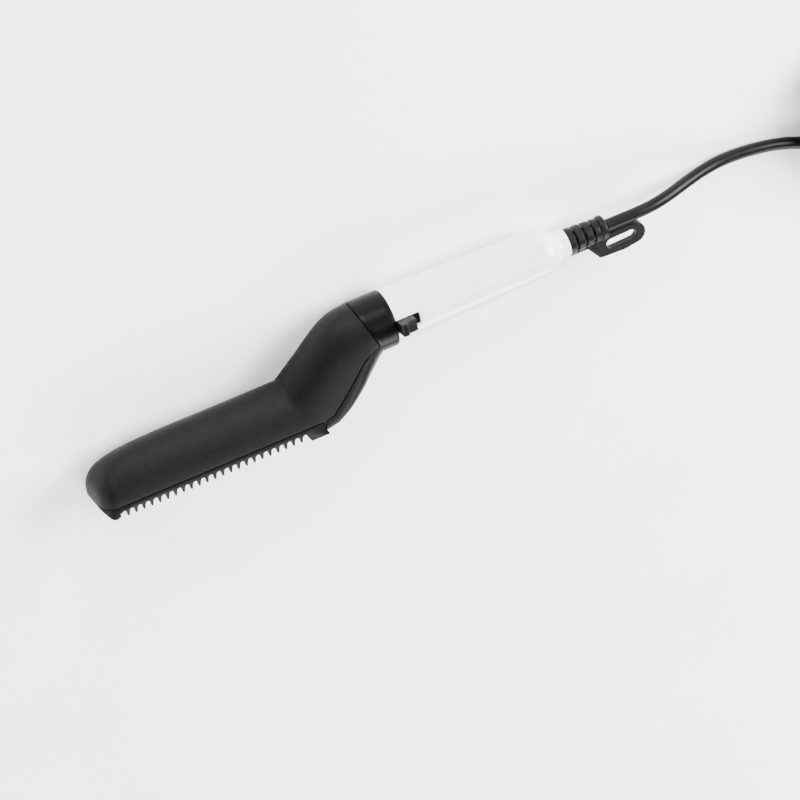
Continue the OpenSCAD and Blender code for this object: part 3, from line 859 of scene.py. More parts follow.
@dataclass
class CrankedHousing:
    """The black head and neck: two shells that meet on a line down the side."""

    wall: float = 2.0
    arch_steps: int = 26
    per_span: int = 6
    edge_round: float = 0.35
    collar_slant: float = 0.35
    collar_front: float = -11.4
    seam: float = 0.5
    groove: float = 0.22

    def cover_knots(self) -> list[Station]:
        """The cover's cross-sections from the collar to the tip."""
        c, r = CROWN_Y, HANDLE_R
        return [
            Station(-9.93 - self.seam, -4.2, -16.3 - self.seam, r, 0, r, 2),
            Station(-13, -5.4, -18.2, 13.95, -1.5, r, 2),
            Station(-15.7, -6.5, -20.2, 13.8, -3.5, r, 2.1),
            Station(-20, -9.4, -24.4, 13, -8, r, 2.3),
            Station(-23.6, -13.5, -28.6, 11.5, -13, r, 2.5),
            Station(-28.3, -18.8, -33.6, 8.2, -18.8, r, 2.7),
            Station(-32.9, -24.1, -39.4, 3.4, -24.1, r, 2.8),
            Station(-39.3, -30.5, -46.4, -2.5, -30.5, r, 2.7),
            Station(REAR_X, PART_Y, -51.8, -7, PART_Y, r, 2.5, 2),
            Station(-46.6, PART_Y, -56.4, c, PART_Y, r, 2.1, 8),
            Station(-62, PART_Y, -67, c, PART_Y, r, 2.1, 5),
            Station(-96, PART_Y, -96, c, PART_Y, r, 2.1),
            Station(-125, PART_Y, -125, c, PART_Y, r, 2.1),
            Station(-135, PART_Y, -135, c - 0.5, PART_Y, r, 2.1),
            Station(-143, PART_Y, -143, c - 1.8, PART_Y, r, 2.15),
            Station(-149, PART_Y, -149, c - 3.9, PART_Y, r, 2.2),
            Station(-153, PART_Y, -153, c - 6.4, PART_Y, tip_half(-153), 2.3),
            Station(-156, PART_Y, -156, c - 9.6, PART_Y, tip_half(-156), 2.4),
            Station(-158, PART_Y, -158, c - 13.4, PART_Y, tip_half(-158), 2.5),
            Station(-158.6, PART_Y, -158.6, c - 16.2, PART_Y, 8.6, 2.6),
            Station(TIP_X, PART_Y, TIP_X, PART_Y + 1.2, PART_Y, 7.2, 2.6),
            Station(TIP_X, PART_Y, TIP_X, PART_Y + 0.02, PART_Y, 7, 2.6),
        ]

    def neck_knots(self) -> list[Station]:
        """The lower neck's cross-sections from the collar to the comb's rear block."""
        r = HANDLE_R
        return [
            Station(-9.93, -4.2, -6.5, -r, 0, r, 2),
            Station(-13, -5.4, -8.8, -16.1, -1.5, r, 2.1),
            Station(-15.7, -6.5, -11, -18.6, -3.5, r, 2.2),
            Station(-20, -9.4, -15, -22.6, -8, r, 2.4),
            Station(-23.6, -13.5, -19, -26.6, -13, r, 2.7),
            Station(-28.3, -18.8, -24.5, -31.3, -18.8, r, 3.1),
            Station(-32.9, -24.1, -30, -34.9, -24.1, r, 3.8),
            Station(-39.3, -30.5, -36.5, -37.9, -30.5, r, 4.6),
            Station(REAR_X, PART_Y, REAR_X, -38.8, PART_Y, r, 6),
        ]

    def cover(self) -> bpy.types.Object:
        """Build the cover of the head with the upper neck."""
        shape = Shape()
        corners = frozenset({7, 9})
        knots = spline(self.cover_knots(), self.per_span, corners)
        rows = [Station(*row).arch(self.arch_steps, self.groove) for row in knots]
        shape.add_grid(rows)
        made = shape.object("head_cover")
        thicken(made, self.wall)
        round_edges(made, self.edge_round, 50)
        bake_modifiers(made)
        return place(made, "root", Finish.COVER, "black_matte", "upper_shell")

    def slant_x(self, y: float) -> float:
        """The collar's front edge at a height across the handle."""
        return self.collar_front - self.collar_slant * y

    def base(self) -> bpy.types.Object:
        """Build the collar ring and the lower neck, which are one moulding."""
        shape = Shape()
        knots = spline(self.neck_knots(), self.per_span, frozenset({0, 7}))
        grooves = [0.0] + [self.groove] * (len(knots) - 1)
        rows = [Station(*row).arch(self.arch_steps, groove) for row, groove in zip(knots, grooves)]
        shape.add_grid(rows)
        lower = rows[0]
        foot = math.atan2(lower[0][2], lower[0][1])
        steps = 72
        upper = []
        for i in range(1, steps):
            a = -foot + 2 * foot * i / steps
            y, z = HANDLE_R * math.cos(a), HANDLE_R * math.sin(a)
            upper.append((self.slant_x(y), y, z))
        edge = [tuple(p) for p in lower] + upper
        steps_back = (0, 0.2, 0.4, 0.6, 0.8, 1.0)
        collar = [[(x + (-JOINT_GAP - x) * t, y, z) for x, y, z in edge] for t in steps_back]
        shape.add_grid(collar, wrap=True)
        made = shape.object("collar_and_lower_neck", merge=0.05)
        thicken(made, self.wall)
        round_edges(made, 0.28, 50)
        bake_modifiers(made)
        return place(made, "root", Finish.COLLAR, "black_gloss", "base_shell")

    def build(self) -> None:
        """Build both shells."""
        self.cover()
        self.base()


# ---------------------------------------------------------------------------
# Handle
# ---------------------------------------------------------------------------


@dataclass
class Handle:
    """The white sleeve, with the open notch that the thumb piece slides in."""

    wall: float = 1.8
    notch_half: float = 3.4
    notch_length: float = 12.2
    taper_length: float = 80.0
    rear_r: float = 12.2

    def taper(self, x: float) -> tuple[float, float]:
        """A point of the sleeve's straight stretch, as (x, radius)."""
        return x, HANDLE_R + (self.rear_r - HANDLE_R) / self.taper_length * x

    def profile(self) -> list[tuple[float, float]]:
        """The sleeve's outside from the notch's end to its rear neck."""
        straight = [self.taper(x) for x in (self.notch_length, 16, 22, 30, 40, 50, 60, 70, 76)]
        shoulder = [
            (79.5, 12.2), (82, 11.85), (84, 11.15), (85.6, 10.15), (86.8, 9.0), (87.8, 8.0), (89, 7.25),
            (90.4, 6.85), (92.2, 6.72), (94.4, 6.7),
        ]
        knots = [(x, r, 0.0, 0.0) for x, r in straight[-2:] + shoulder]
        curve = [(row[0], row[1]) for row in spline(knots, 4)]
        return straight[:-2] + curve

    def sleeve(self) -> bpy.types.Object:
        """Build the white sleeve as a skin with its wall turned inwards."""
        half = math.asin(self.notch_half / HANDLE_R)
        centre = math.radians(90 - SWITCH_LEAN)
        steps = 96
        slit = [centre + half - 2 * half * i / 8 for i in range(9)]
        around = [centre - half - (math.tau - 2 * half) * i / steps for i in range(1, steps)]
        ring = slit + around
        shape = Shape()
        front = [self.taper(x) for x in (JOINT_GAP, 1.5, 4, 7, 10, self.notch_length)]
        open_arc = [slit[-1]] + around + [slit[0]]
        shape.add_grid([[round_axis(x, r, a) for a in open_arc] for x, r in front])
        shape.add_grid([[round_axis(x, r, a) for a in ring] for x, r in self.profile()], wrap=True)
        made = shape.object("white_sleeve", merge=0.05)
        thicken(made, self.wall)
        round_edges(made, 0.22, 50)
        bake_modifiers(made)
        return place(made, "root", Finish.SLEEVE, "white_gloss", "handle_sleeve")

    def build(self) -> None:
        """Build the handle's outside."""
        self.sleeve()


# ---------------------------------------------------------------------------
# What repeats: Geometry Nodes that put one shape at every point of a cloud
# ---------------------------------------------------------------------------


@dataclass(frozen=True)
class RowOfCopies:
    """One shape repeated along a straight line, as real faces."""

    name: str
    count: int
    step_mm: tuple[float, float, float]

    def tree(self, finish: Finish) -> bpy.types.NodeTree:
        """Make the node tree: a line of points, a copy on each, doubles merged.

        Args:
            finish: the finish of every copy.

        Returns:
            The tree, with its own named inputs.
        """
        tree = bpy.data.node_groups.new(self.name, "GeometryNodeTree")
        face = tree.interface
        face.new_socket("Shape", in_out="INPUT", socket_type="NodeSocketGeometry")
        face.new_socket("Count", in_out="INPUT", socket_type="NodeSocketInt")
        face.new_socket("Step", in_out="INPUT", socket_type="NodeSocketVector")
        face.new_socket("Merge Distance", in_out="INPUT", socket_type="NodeSocketFloat")
        face.new_socket("Copies", in_out="OUTPUT", socket_type="NodeSocketGeometry")
        entry = add_node(tree, "NodeGroupInput")
        line = add_node(
            tree, "GeometryNodeMeshLine", {"mode": "OFFSET"},
            Count=entry.outputs["Count"], Offset=entry.outputs["Step"],
        )
        put = add_node(
            tree, "GeometryNodeInstanceOnPoints",
            Points=line.outputs["Mesh"], Instance=entry.outputs["Shape"],
        )
        real = add_node(tree, "GeometryNodeRealizeInstances", Geometry=put.outputs["Instances"])
        merged = add_node(
            tree, "GeometryNodeMergeByDistance",
            Geometry=real.outputs["Geometry"], Distance=entry.outputs["Merge Distance"],
        )
        painted = add_node(
            tree, "GeometryNodeSetMaterial",
            Geometry=merged.outputs["Geometry"], Material=finish.material(),
        )
        add_node(tree, "NodeGroupOutput", Copies=painted.outputs["Geometry"])
        return tree

    def apply(self, obj: bpy.types.Object, finish: Finish, merge_mm: float = 0.0) -> bpy.types.Object:
        """Repeat an object's mesh and turn the result into its plain mesh.

        Args:
            obj: the object that holds one copy, at its first place.
            finish: the finish of every copy.
            merge_mm: how close doubles are merged, in millimetres.

        Returns:
            The same object, with every copy.
        """
        tree = self.tree(finish)
        modifier = obj.modifiers.new(self.name, "NODES")
        modifier.node_group = tree
        sockets = {s.name: s.identifier for s in tree.interface.items_tree if s.in_out == "INPUT"}
        modifier[sockets["Count"]] = self.count
        modifier[sockets["Step"]] = [v * MM for v in self.step_mm]
        modifier[sockets["Merge Distance"]] = merge_mm * MM
        return bake_modifiers(obj)


# ---------------------------------------------------------------------------
# Comb frame
# ---------------------------------------------------------------------------


@dataclass
class CombFrame:
    """The toothed frame: two rows of short teeth, a guard horn and a rear block."""

    pitch: float = 4.1
    teeth: int = 23
    first_tooth_x: float = -57.3
    top_y: float = -32.45
    gap_y: float = -34.9
    tip_y: float = -38.8
    block_y: float = -39.7
    gap_r: float = 1.25
    outside: float = 13.8
    inside: float = 11.2
    tip_thin: float = 0.55
    tip_r: float = 0.46
    corner_x: float = -151.5
    corner_z: float = 6.4
    corner_r: float = 7.4
    rim: float = 2.3
    lap: float = 0.02

    def tooth_outline(self) -> list[tuple[float, float]]:
        """One tooth's lower edge, from the middle of one gap to the middle of the next."""
        left = arc_points((-self.pitch / 2, self.gap_y - self.gap_r), self.gap_r, 90, -84, 5)
        left += arc_points((0.0, self.tip_y + self.tip_r), self.tip_r, 192, 78, 3)
        return left + [(-x, y) for x, y in reversed(left[:-1])]

    def tooth_cell(self, x: float, side: int) -> Shape:
        """One tooth with its stretch of the strip, open where it meets its neighbours.

        Args:
            x: the tooth's middle.
            side: 1 for the upper row and -1 for the lower one.

        Returns:
            The cell.
        """
        cell = Shape()
        edge = self.tooth_outline()

        def skin(outer: bool) -> list[tuple[float, float, float]]:
            """The lower edge on the outer or the inner face, thinner towards the tip."""
            out = []
            for u, y in edge:
                drop = max(0.0, self.gap_y - y) / (self.gap_y - self.tip_y) * self.tip_thin
                z = self.outside - drop if outer else self.inside + drop
                out.append((x + u, y, side * z))
            return out

        low_out, low_in = skin(True), skin(False)
        cell.add_grid([low_out, low_in])
        left, right = x - self.pitch / 2, x + self.pitch / 2
        inner, outer = side * self.inside, side * self.outside
        low_y, top_y = self.gap_y, self.top_y
        for low, z in ((low_out, outer), (low_in, inner)):
            cell.add_loop(low)
            cell.add_loop([(left, low_y, z), (right, low_y, z), (right, top_y, z), (left, top_y, z)])
        cell.add_loop([
            (left, top_y, inner), (right, top_y, inner), (right, top_y, outer), (left, top_y, outer),
        ])
        return cell

    def toothed_strip(self, side: int) -> bpy.types.Object:
        """The straight strip of teeth on one side."""
        cell = self.tooth_cell(self.first_tooth_x, side).object(f"teeth_{side}", recalc=False)
        row = RowOfCopies("comb_teeth", self.teeth, (-self.pitch, 0, 0))
        row.apply(cell, Finish.COMB, 0.01)
        work = bmesh.new()
        work.from_mesh(cell.data)
        bmesh.ops.holes_fill(work, edges=[e for e in work.edges if e.is_boundary])
        bmesh.ops.recalc_face_normals(work, faces=work.faces)
        work.to_mesh(cell.data)
        work.free()
        return cell

    def ends(self, side: int) -> Shape:
        """The guard horn at the tip and the block at the rear, on one side."""
        shape = Shape()
        low, high = sorted((side * self.inside, side * self.outside))
        last_x = self.first_tooth_x - self.pitch * (self.teeth - 0.5)
        first_x = self.first_tooth_x + self.pitch / 2
        horn = [
            (last_x + self.lap, self.top_y), (self.corner_x, self.top_y), (self.corner_x, -37.3),
            (-151.55, -36.6), (-151.68, -35.9), (last_x + self.lap, self.gap_y),
        ]
        shape.add_prism(horn, low, high)
        block = [
            (first_x - self.lap, self.top_y), (first_x - self.lap, self.gap_y), (-54.8, self.gap_y - 0.1),
            (-52.6, self.block_y + 0.15), (-52.1, self.block_y), (-43.3, self.block_y), (-43.1, -39.0),
            (-44.5, -38.9), (-44.5, self.top_y),
        ]
        shape.add_prism(block, low, high)
        return shape

    def nose(self) -> bpy.types.Object:
        """The frame's front: a rim that follows the tip's outline and deepens into two guard horns."""
        depths = [
            (90, -37.3), (97, -37.9), (105, -38.3), (113, -38.4), (121, -38.15), (129, -37.4), (137, -36.4),
            (146, -35.3), (156, -34.4), (168, -33.8), (180, -33.5),
        ]
        half = [(math.cos(math.radians(angle)), math.sin(math.radians(angle)), y) for angle, y in depths]
        outer, inner, top = self.corner_r, self.corner_r - self.rim, self.top_y
        rows = []
        for side, order in ((1, half), (-1, list(reversed(half)))):
            for c, sn, y in order:
                x_out, z_out = self.corner_x + outer * c, side * (self.corner_z + outer * sn)
                x_in, z_in = self.corner_x + inner * c, side * (self.corner_z + inner * sn)
                rows.append([(x_out, top, z_out), (x_out, y, z_out), (x_in, y, z_in), (x_in, top, z_in)])
        shape = Shape()
        shape.add_tube(rows)
        return shape.object("comb_nose")

    def build(self) -> None:
        """Build the frame, on the comb's own body."""
        parts = [self.nose()]
        for side in (-1, 1):
            parts.append(self.toothed_strip(side))
            parts.append(self.ends(side).object(f"ends_{side}"))
            inner = Shape()
            low, high = sorted((side * 10.0, side * (self.inside + 0.1)))
            inner.add_block((-150.8, -34.2, low), (-46, -33.2, high))
            low, high = sorted((side * 9.2, side * (self.inside + 0.1)))
            inner.add_block((-52, self.block_y + self.lap, low), (-44.5, -36.25, high))
            parts.append(inner.object(f"tongue_{side}"))
        made = joined("comb_frame_with_teeth", parts)
        round_edges(made, 0.16, 40, 2)
        bake_modifiers(made)
        place(made, "comb", Finish.COMB, "comb_black", "comb_frame")


# ---------------------------------------------------------------------------
# Thumb piece of the slide switch
# ---------------------------------------------------------------------------


@dataclass
class ThumbPiece:
    """The switch's sliding piece: a low step and a ridge to push, grooved for grip."""

    half_width: float = 3.1
    step_top: float = 18.2
    ridge_top: float = 19.9
    cover_radii: tuple[float, float] = (11.5, 10.55)
    cover_half: float = 3.35
    cover_ends: tuple[float, float] = (-2.8, 12.7)

    def turned(self, shape: Shape) -> Shape:
        """Lean a shape about the handle's axis, as the switch leans."""
        turn = Matrix.Rotation(math.radians(-SWITCH_LEAN), 3, "X")
        shape.points = [turn @ p for p in shape.points]
        return shape

    def cover(self) -> bpy.types.Object:
        """The curved strip under the step, which closes the notch as the piece slides."""
        outer, inner = self.cover_radii
        half = math.asin(self.cover_half / outer)
        rows = []
        for x in self.cover_ends:
            arc = []
            for r, sign in ((outer, 1), (inner, -1)):
                arc += [round_axis(x, r, math.radians(90) + sign * half * (1 - i / 4)) for i in range(9)]
            rows.append(arc)
        shape = Shape()
        shape.add_tube(rows)
        return self.turned(shape).object("knob_cover")

    def build(self) -> None:
        """Build the thumb piece from a curved cover, a step, a ridge and a stem."""
        parts = [self.cover()]
        step = Shape()
        top = self.ridge_top
        profile = [
            (0.35, 10.5), (0.35, top - 0.8), (0.8, top - 0.1), (3.1, top - 0.1), (3.6, top - 0.7),
            (3.75, 18.6), (4.2, self.step_top), (8.55, self.step_top - 0.2), (8.55, 10.5),
        ]
        step.add_tube([[(x, y, z) for x, z in profile] for y in (-self.half_width, self.half_width)])
        made = self.turned(step).object("knob_step")
        round_edges(made, 0.3, 30)
        bake_modifiers(made)
        parts.append(made)
        stem = Shape()
        stem.add_block((2.8, -1, 5.6), (5.4, 1, 10.8))
        parts.append(self.turned(stem).object("knob_stem"))
        rib = Shape()
        rib.add_block((0.95, -2.6, self.ridge_top - 0.2), (1.15, 2.6, self.ridge_top))
        ribs = self.turned(rib).object("knob_ribs")
        RowOfCopies("grip_ribs", 5, (0.46, 0, 0)).apply(ribs, Finish.KNOB)
        parts.append(ribs)
        place(joined("thumb_slider", parts), "knob", Finish.KNOB, "knob_black", "switch_knob")


# ---------------------------------------------------------------------------
# Strain relief with its hanging loop
# ---------------------------------------------------------------------------


@dataclass
class SwivelRelief:
    """The swivelling strain relief: a ribbed taper, an end ring and a flat hanging loop."""

    bore: float = 3.1
    loop_half: float = 1.9
    slot_xs: tuple[float, ...] = (97.7, 102.3, 106.9)
    slot_wide: float = 1.2
    slot_floor: float = 4.4
    slot_reach: float = 9.0
    bridge_half: float = 1.6

    def barrel(self) -> bpy.types.Object:
        """The tapering barrel with its bore, as one closed turned skin."""
        outside = [
            (84, self.bore), (84, 4.5), (84.8, 4.5), (84.8, 3.9), (85.8, 3.9), (85.8, 4.5), (94.55, 4.5),
            (94.55, 6.1), (94.8, 6.4), (97.6, 6.35), (98.9, 5.9), (99.2, 6.25), (102.2, 6.15),
            (103.5, 5.65), (103.8, 6.0), (106.8, 5.85), (108.1, 5.4), (108.4, 5.75), (110.6, 5.6),
            (111.0, 5.1), (111.5, 5.1), (111.8, 5.7), (112.1, 6), (114, 6), (114.5, 5.7), (114.8, 5.1),
            (114.8, self.bore), (100, self.bore), (84, self.bore),
        ]
        shape = Shape()
        shape.add_turned(outside, 72)
        return shape.object("relief_barrel")

    def loop_plate(self) -> bpy.types.Object:
        """The flat hanging loop with its window, rounded at its corners."""
        corners = [(110.2, -13.4, 1.8), (122.4, -12.6, 3.2), (128.5, -9.2, 5.5), (114, -5.6, 1.9)]
        outer = hull_of_circles(corners, 10)
        plate = Shape()
        plate.add_prism(outer, -self.loop_half, self.loop_half)
        made = plate.object("relief_loop")
        lobe = Shape()
        outer = [(104, -4), (104.6, -8.4), (109, -14.6), (116, -14.4), (116, -4)]
        lobe.add_prism(outer, -self.loop_half, self.loop_half)
        unite(made, lobe.object("relief_lobe"))
        rib = Shape()
        rib.add_block((94.9, -8.2, -1), (105.5, -4.6, 1))
        unite(made, rib.object("relief_rib"))
        window = Shape()
        window.add_prism(hull_of_circles([(116.2, -9.7, 2.7), (126.6, -9.3, 2.7)], 12), -4, 4)
        cut_away(made, window.object("loop_window"))
        return made

    def slots(self) -> list[bpy.types.Object]:
        """The cutters of the slots that let the barrel bend, on its upper and lower side."""
        steps = 40
        half = math.degrees(math.acos(self.bridge_half / self.slot_floor))
        angles = [math.radians(-half + 2 * half * i / steps) for i in range(steps + 1)]
        floor = [(self.slot_floor * math.sin(a), self.slot_floor * math.cos(a)) for a in angles]
        reach, bridge = self.slot_reach, self.bridge_half
        outline = floor + [(reach, bridge), (reach, reach), (-reach, reach), (-reach, bridge)]
        out = []
        for side in (-1, 1):
            for x in self.slot_xs:
                ring = Shape()
                ring.add_tube([[(px, y, side * z) for y, z in outline] for px in (x, x + self.slot_wide)])
                out.append(ring.object("relief_slot"))
        return out

    def build(self) -> None:
        """Build the relief as one moulding with soft inner corners."""
        made = self.barrel()
        unite(made, self.loop_plate())
        for cutter in self.slots():
            cut_away(made, cutter)
        bore = Shape()
        bore.add_turned([(82, 0.001), (82, self.bore), (118, self.bore), (118, 0.001)], 64)
        cut_away(made, bore.object("relief_bore", merge=0.01))
        remesh = made.modifiers.new("moulding", "REMESH")
        remesh.mode = "VOXEL"
        remesh.voxel_size = 0.2 * MM
        remesh.use_smooth_shade = True
        soften = made.modifiers.new("soften", "SMOOTH")
        soften.factor = 0.5
        soften.iterations = 4
        bake_modifiers(made, math.radians(80))
        made.name = "swivel_relief"
        place(made, "relief", Finish.RELIEF, "relief_black", "strain_relief")


def hull_of_circles(corners: Sequence[tuple[float, float, float]], steps: int) -> list[tuple[float, float]]:
    """The outline that wraps a set of circles.

    Args:
        corners: each circle's middle and radius.
        steps: how many points make a quarter of a circle.

    Returns:
        The outline, counter-clockwise.
    """
    points = []
    for x, y, r in corners:
        points += [(x + r * math.cos(a), y + r * math.sin(a)) for a in ring_angles(4 * steps)]
    points.sort()

    def chain(ordered: Iterable[tuple[float, float]]) -> list[tuple[float, float]]:
        """One side of the convex outline."""
        out: list[tuple[float, float]] = []
        for p in ordered:
            while len(out) > 1 and turn_of(out[-2], out[-1], p) <= 1e-9:
                out.pop()
            out.append(p)
        return out[:-1]

    return chain(points) + chain(reversed(points))


def turn_of(a: tuple[float, float], b: tuple[float, float], c: tuple[float, float]) -> float:
    """How far a path through three points turns to the left."""
    return (b[0] - a[0]) * (c[1] - a[1]) - (b[1] - a[1]) * (c[0] - a[0])


# ---------------------------------------------------------------------------
# Inner works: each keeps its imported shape, with its edges rounded as moulded
# ---------------------------------------------------------------------------


@dataclass
class InnerWorks:
    """The heater, the switch, the board and the wiring that the shells hide."""

    def refined(self, node: str, finish: Finish, slot: str, edge: float) -> bpy.types.Object:
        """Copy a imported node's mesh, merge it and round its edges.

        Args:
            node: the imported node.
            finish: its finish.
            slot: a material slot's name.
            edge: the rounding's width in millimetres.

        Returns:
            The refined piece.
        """
        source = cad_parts[node]
        mesh = source.data.copy()
        made = bpy.data.objects.new(f"{node}_refined", mesh)
        bpy.context.scene.collection.objects.link(made)
        work = bmesh.new()
        work.from_mesh(mesh)
        bmesh.ops.remove_doubles(work, verts=work.verts, dist=0.002 * MM)
        bmesh.ops.dissolve_limit(work, angle_limit=math.radians(1), verts=work.verts, edges=work.edges)
        work.to_mesh(mesh)
        work.free()
        round_edges(made, edge, 50, 2)
        bake_modifiers(made)
        return place(made, "root", finish, slot, node)

    def build(self) -> None:
        """Refine what has edges to round, and finish the rest as it is."""
        self.refined("heater_carrier", Finish.CARRIER, "carrier_plastic", 0.15)
        self.refined("heater_plate", Finish.PLATE, "anodised_aluminium", 0.12)
        self.refined("circuit_tray", Finish.TRAY, "tray_plastic", 0.15)
        self.refined("slide_switch", Finish.CAN, "switch_can", 0.2)
        self.refined("cord_clamp", Finish.TRAY, "tray_plastic", 0.2)
        self.refined("ptc_heater", Finish.HEATER, "heater_alloy", 0.12)
        self.refined("heater_clamp", Finish.SPRING, "spring_steel", 0.1)
        plain = {
            "insulation_sheets": Finish.FILM,
            "clamp_bar_screws": Finish.SCREW,
            "carrier_screws": Finish.SCREW,
            "thermal_fuse": Finish.FUSE,
            "heater_leads": Finish.BRAID,
            "neck_screws": Finish.SCREW,
            "sleeve_screw": Finish.SCREW,
            "circuit_board": Finish.BOARD,
            "board_screws": Finish.SCREW,
            "crimp_caps": Finish.CRIMP,
            "mains_leads": Finish.CORE,
            "inner_cord": Finish.SHEATH,
            "cord_clamp_screws": Finish.SCREW,
            "swivel_ring": Finish.SPRING,
        }
        for node, finish in plain.items():
            dress(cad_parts[node], finish)
            log.info("%s keeps its packed shape", node)


# ---------------------------------------------------------------------------
# The free lead: its visible stretch, coil, tie and plug
# ---------------------------------------------------------------------------


@dataclass
class Lead:
    """The mains lead with its whole length: a visible stretch, a tied coil and a plug."""

    diameter: float = 6.0
    coil_x: float = 266.5
    coil_y: float = 4.0
    entry_angle: float = 40.0
    coil_r: float = 32.0
    turns: int = 8
    turn_points: int = 40
    shift_angle: float = 70.0
    plug_x: float = 306.5
    plug_y: float = -22.0
    plug_z: float = -7.0
    pin_gap: float = 18.6
    pin_r: float = 2.0

    def route(self) -> list[tuple[float, float, float]]:
        """The stretch from the relief down to the surface and along it to the coil."""
        low = self.diameter / 2 - HANDLE_R
        return [
            (116.2, 0, 0), (124, 0, 0), (132, 0, 0), (140, 0, -0.6), (150, 0.2, -2.8), (160, 0.6, -6),
            (170, 1, -8.8), (180, 1.1, -10.6), (190, 0.8, low), (200, -0.4, low), (210.5, -2.7, low),
            (221, -6.6, low), (230.5, -11.9, low), (238, -17.5, low), (244, -22.8, low),
        ]

    def tail(self) -> list[tuple[float, float, float]]:
        """The stretch from the coil's side to the plug."""
        return [
            (266.5, -37, -5.1), (271.8, -36.5, -5.3), (276.9, -35.2, -5.6), (281.7, -32.9, -6),
            (286.5, -29.5, -6.4), (291.3, -26.1, -6.7), (296.1, -23.8, -6.9), (301.2, -22.5, -7),
            (307, -22, -7),
        ]

    def coil(self) -> list[tuple[float, float, float]]:
        """The coil's turns: out, in, up the inside, over, down the outside and away.

        Returns:
            The centreline's points, turn_points to a turn.
        """
        # Column (0 inner, 1 outer, 2 beside the coil) and layer of each turn
        lanes = [(1, 0), (0, 0), (0, 1), (0, 2), (0, 3), (1, 3), (1, 2), (1, 1), (2, 1)]
        # Where each shift to the next lane starts, in degrees of its turn, so that a turn leaves
        # its lane before the one below it comes in
        starts = [250, 240, 240, 240, 230, 220, 220, 210]
        out = []
        first = -round(self.entry_angle / 360 * self.turn_points)
        for i in range(first + 1, self.turns * self.turn_points):
            turn, angle = divmod(360 * i / self.turn_points, 360)
            turn, angle = (int(turn), angle) if i >= 0 else (0, 0.0)
            t = min(1.0, max(0.0, (angle - starts[turn]) / self.shift_angle))
            t = t * t * (3 - 2 * t)
            (c0, l0), (c1, l1) = lanes[turn], lanes[turn + 1]
            r = self.coil_r + (c0 + (c1 - c0) * t - 0.5) * self.diameter
            a = math.radians(360 * i / self.turn_points - 90)
            z = self.diameter / 2 - HANDLE_R + (l0 + (l1 - l0) * t) * self.diameter
            out.append((self.coil_x + r * math.cos(a), self.coil_y + r * math.sin(a), z))
        return out

    def centreline(self) -> list[Vector]:
        """The whole lead's centreline, in metres."""
        first = spline(self.route(), 4)
        last = spline(self.tail(), 4)
        line = [list(p) for p in first] + [list(p) for p in self.coil()] + last
        return [TOOL.at(p) for p in line]

    def sheath(self) -> bpy.types.Object:
        """The lead itself, as a curve with a round section."""
        line = self.centreline()
        data = bpy.data.curves.new("mains_lead", "CURVE")
        data.dimensions = "3D"
        data.bevel_depth = self.diameter / 2 * MM
        data.bevel_resolution = 5
        data.use_fill_caps = True
        strip = data.splines.new("POLY")
        strip.points.add(len(line) - 1)
        for point, at in zip(strip.points, line):
            point.co = (*at, 1)
        strip.use_smooth = True
        made = bpy.data.objects.new("mains_lead", data)
        bpy.context.scene.collection.objects.link(made)
        data.materials.append(Finish.SHEATH.material())
        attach(made, "root")
        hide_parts("power_cord", "cord_coil", "cord_tail")
        return made

    def strap(self) -> bpy.types.Object:
        """The woven strap round the coil's turns."""
        half, top, wide = 7.0, 25.0, 4.0
        low, r = 0.02 - HANDLE_R, 3.0
        x0 = self.coil_x + self.coil_r
        shape = Shape()
        centres = [(half - r, top - r), (-half + r, top - r), (-half + r, r), (half - r, r)]
        loop = []
        for i, (cx, cz) in enumerate(centres):
            loop += arc_points((x0 + cx, low + cz), r, 90 * i, 90, 6)
        rows = [[(x, self.coil_y + y, z) for x, z in loop] for y in (-wide, -wide / 3, wide / 3, wide)]
        shape.add_grid(rows, wrap=True)
        made = shape.object("coil_strap")
        thicken(made, 0.9)
        round_edges(made, 0.25, 50, 2)
        bake_modifiers(made)
        return place(made, "root", Finish.STRAP, "tie_strap", "cord_tie")

    def at_pins(self, profile: Sequence[tuple[float, float]], steps: int) -> Shape:
        """Put one turned shape on both of the plug's pins.

        Args:
            profile: its (x, radius) points, x from the plug's neck.
            steps: how many steps go round it.

        Returns:
            The two copies as one shape.
        """
        both = Shape()
        for side in (-1, 1):
            one = Shape()
            one.add_turned(profile, steps)
            both.add_shape(one, (self.plug_x, self.plug_y + side * self.pin_gap / 2, self.plug_z))
        return both

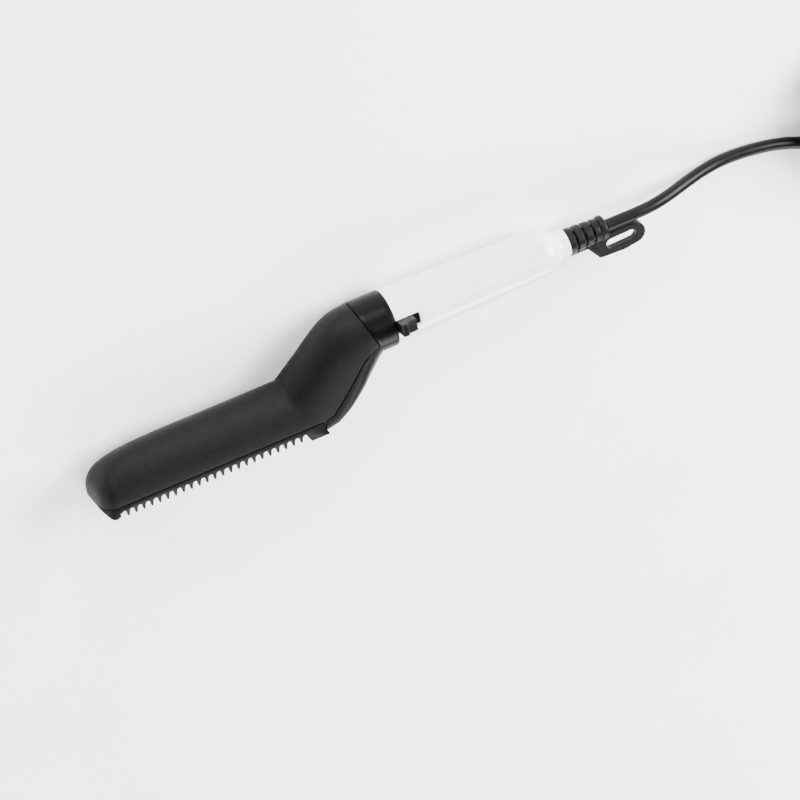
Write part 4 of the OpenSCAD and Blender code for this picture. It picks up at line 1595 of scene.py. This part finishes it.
    def plug(self) -> bpy.types.Object:
        """The plug's moulding: a ribbed neck and a flat body with finger grips."""
        neck = Shape()
        profile = [(0, 3.05), (0.05, 3.4)]
        for i in range(4):
            x = 0.6 + 3 * i
            r = 3.75 + 0.22 * i
            profile += [(x, r - 0.35), (x + 0.4, r), (x + 1.7, r), (x + 2.1, r - 0.35)]
        profile += [(13, 4.3), (16, 4.5), (16, 0.01)]
        neck.add_turned([(0, 0.01)] + profile, 48)
        neck.points = [p + Vector((self.plug_x, self.plug_y, self.plug_z)) for p in neck.points]
        body = Shape()
        outline = [(13, 5), (22, 8.5), (30, 13), (36, 15.7), (39.9, 15.9)]
        full = outline + [(x, -y) for x, y in reversed(outline)]
        corners = [(self.plug_x + x, self.plug_y + y) for x, y in full]
        body.add_prism(corners, self.plug_z - 6.95, self.plug_z + 6.95)
        shell = body.object("plug_shell")
        round_edges(shell, 2.6, 25, 5)
        bake_modifiers(shell)
        r = self.pin_r
        sleeves = self.at_pins([(39, 0.01), (39, r), (49, r), (49.4, r - 0.2), (49.4, 0.01)], 32)
        grip = Shape()
        for side in (-1, 1):
            grip.add_block(
                (self.plug_x + 30.0, self.plug_y - 5, self.plug_z + (6.4 if side > 0 else -7.0)),
                (self.plug_x + 30.8, self.plug_y + 5, self.plug_z + (7.0 if side > 0 else -6.4)),
            )
        ribs = grip.object("plug_grip")
        RowOfCopies("plug_ribs", 4, (1.8, 0, 0)).apply(ribs, Finish.PLUG)
        collars = sleeves.object("pin_sleeves", merge=0.02)
        made = joined("plug_moulding", [shell, neck.object("plug_neck", merge=0.02), collars, ribs])
        return place(made, "root", Finish.PLUG, "plug_black", "plug_body")

    def pins(self) -> bpy.types.Object:
        """The plug's two round pins with rounded ends."""
        r = self.pin_r
        profile = [
            (30, 0.01), (30, 1.6), (49.2, 1.6), (49.2, r), (57, r), (58, r - 0.25), (58.6, r - 0.7),
            (58.95, 0.9), (59, 0.01),
        ]
        shape = self.at_pins(profile, 40)
        return place(shape.object("plug_contacts", merge=0.02), "root", Finish.PIN, "pin_nickel", "plug_pins")

    def build(self) -> None:
        sheath, strap, plug, pins = self.sheath(), self.strap(), self.plug(), self.pins()
        line = self.centreline()
        length = sum((b - a).length for a, b in zip(line, line[1:]))
        log.info("lead: %.3f m from the relief to the plug", length)
        tuple(TOOL.at((116.2, 0, 0)))


def main() -> None:
    """Build the scene, piece by piece."""
    logging.basicConfig(level=logging.INFO, format="%(message)s")
    Viewpoint().build()
    Studio().build()
    Lead().build()
    CrankedHousing().build()
    Handle().build()
    CombFrame().build()
    ThumbPiece().build()
    SwivelRelief().build()
    InnerWorks().build()


if __name__ == "__main__":
    main()
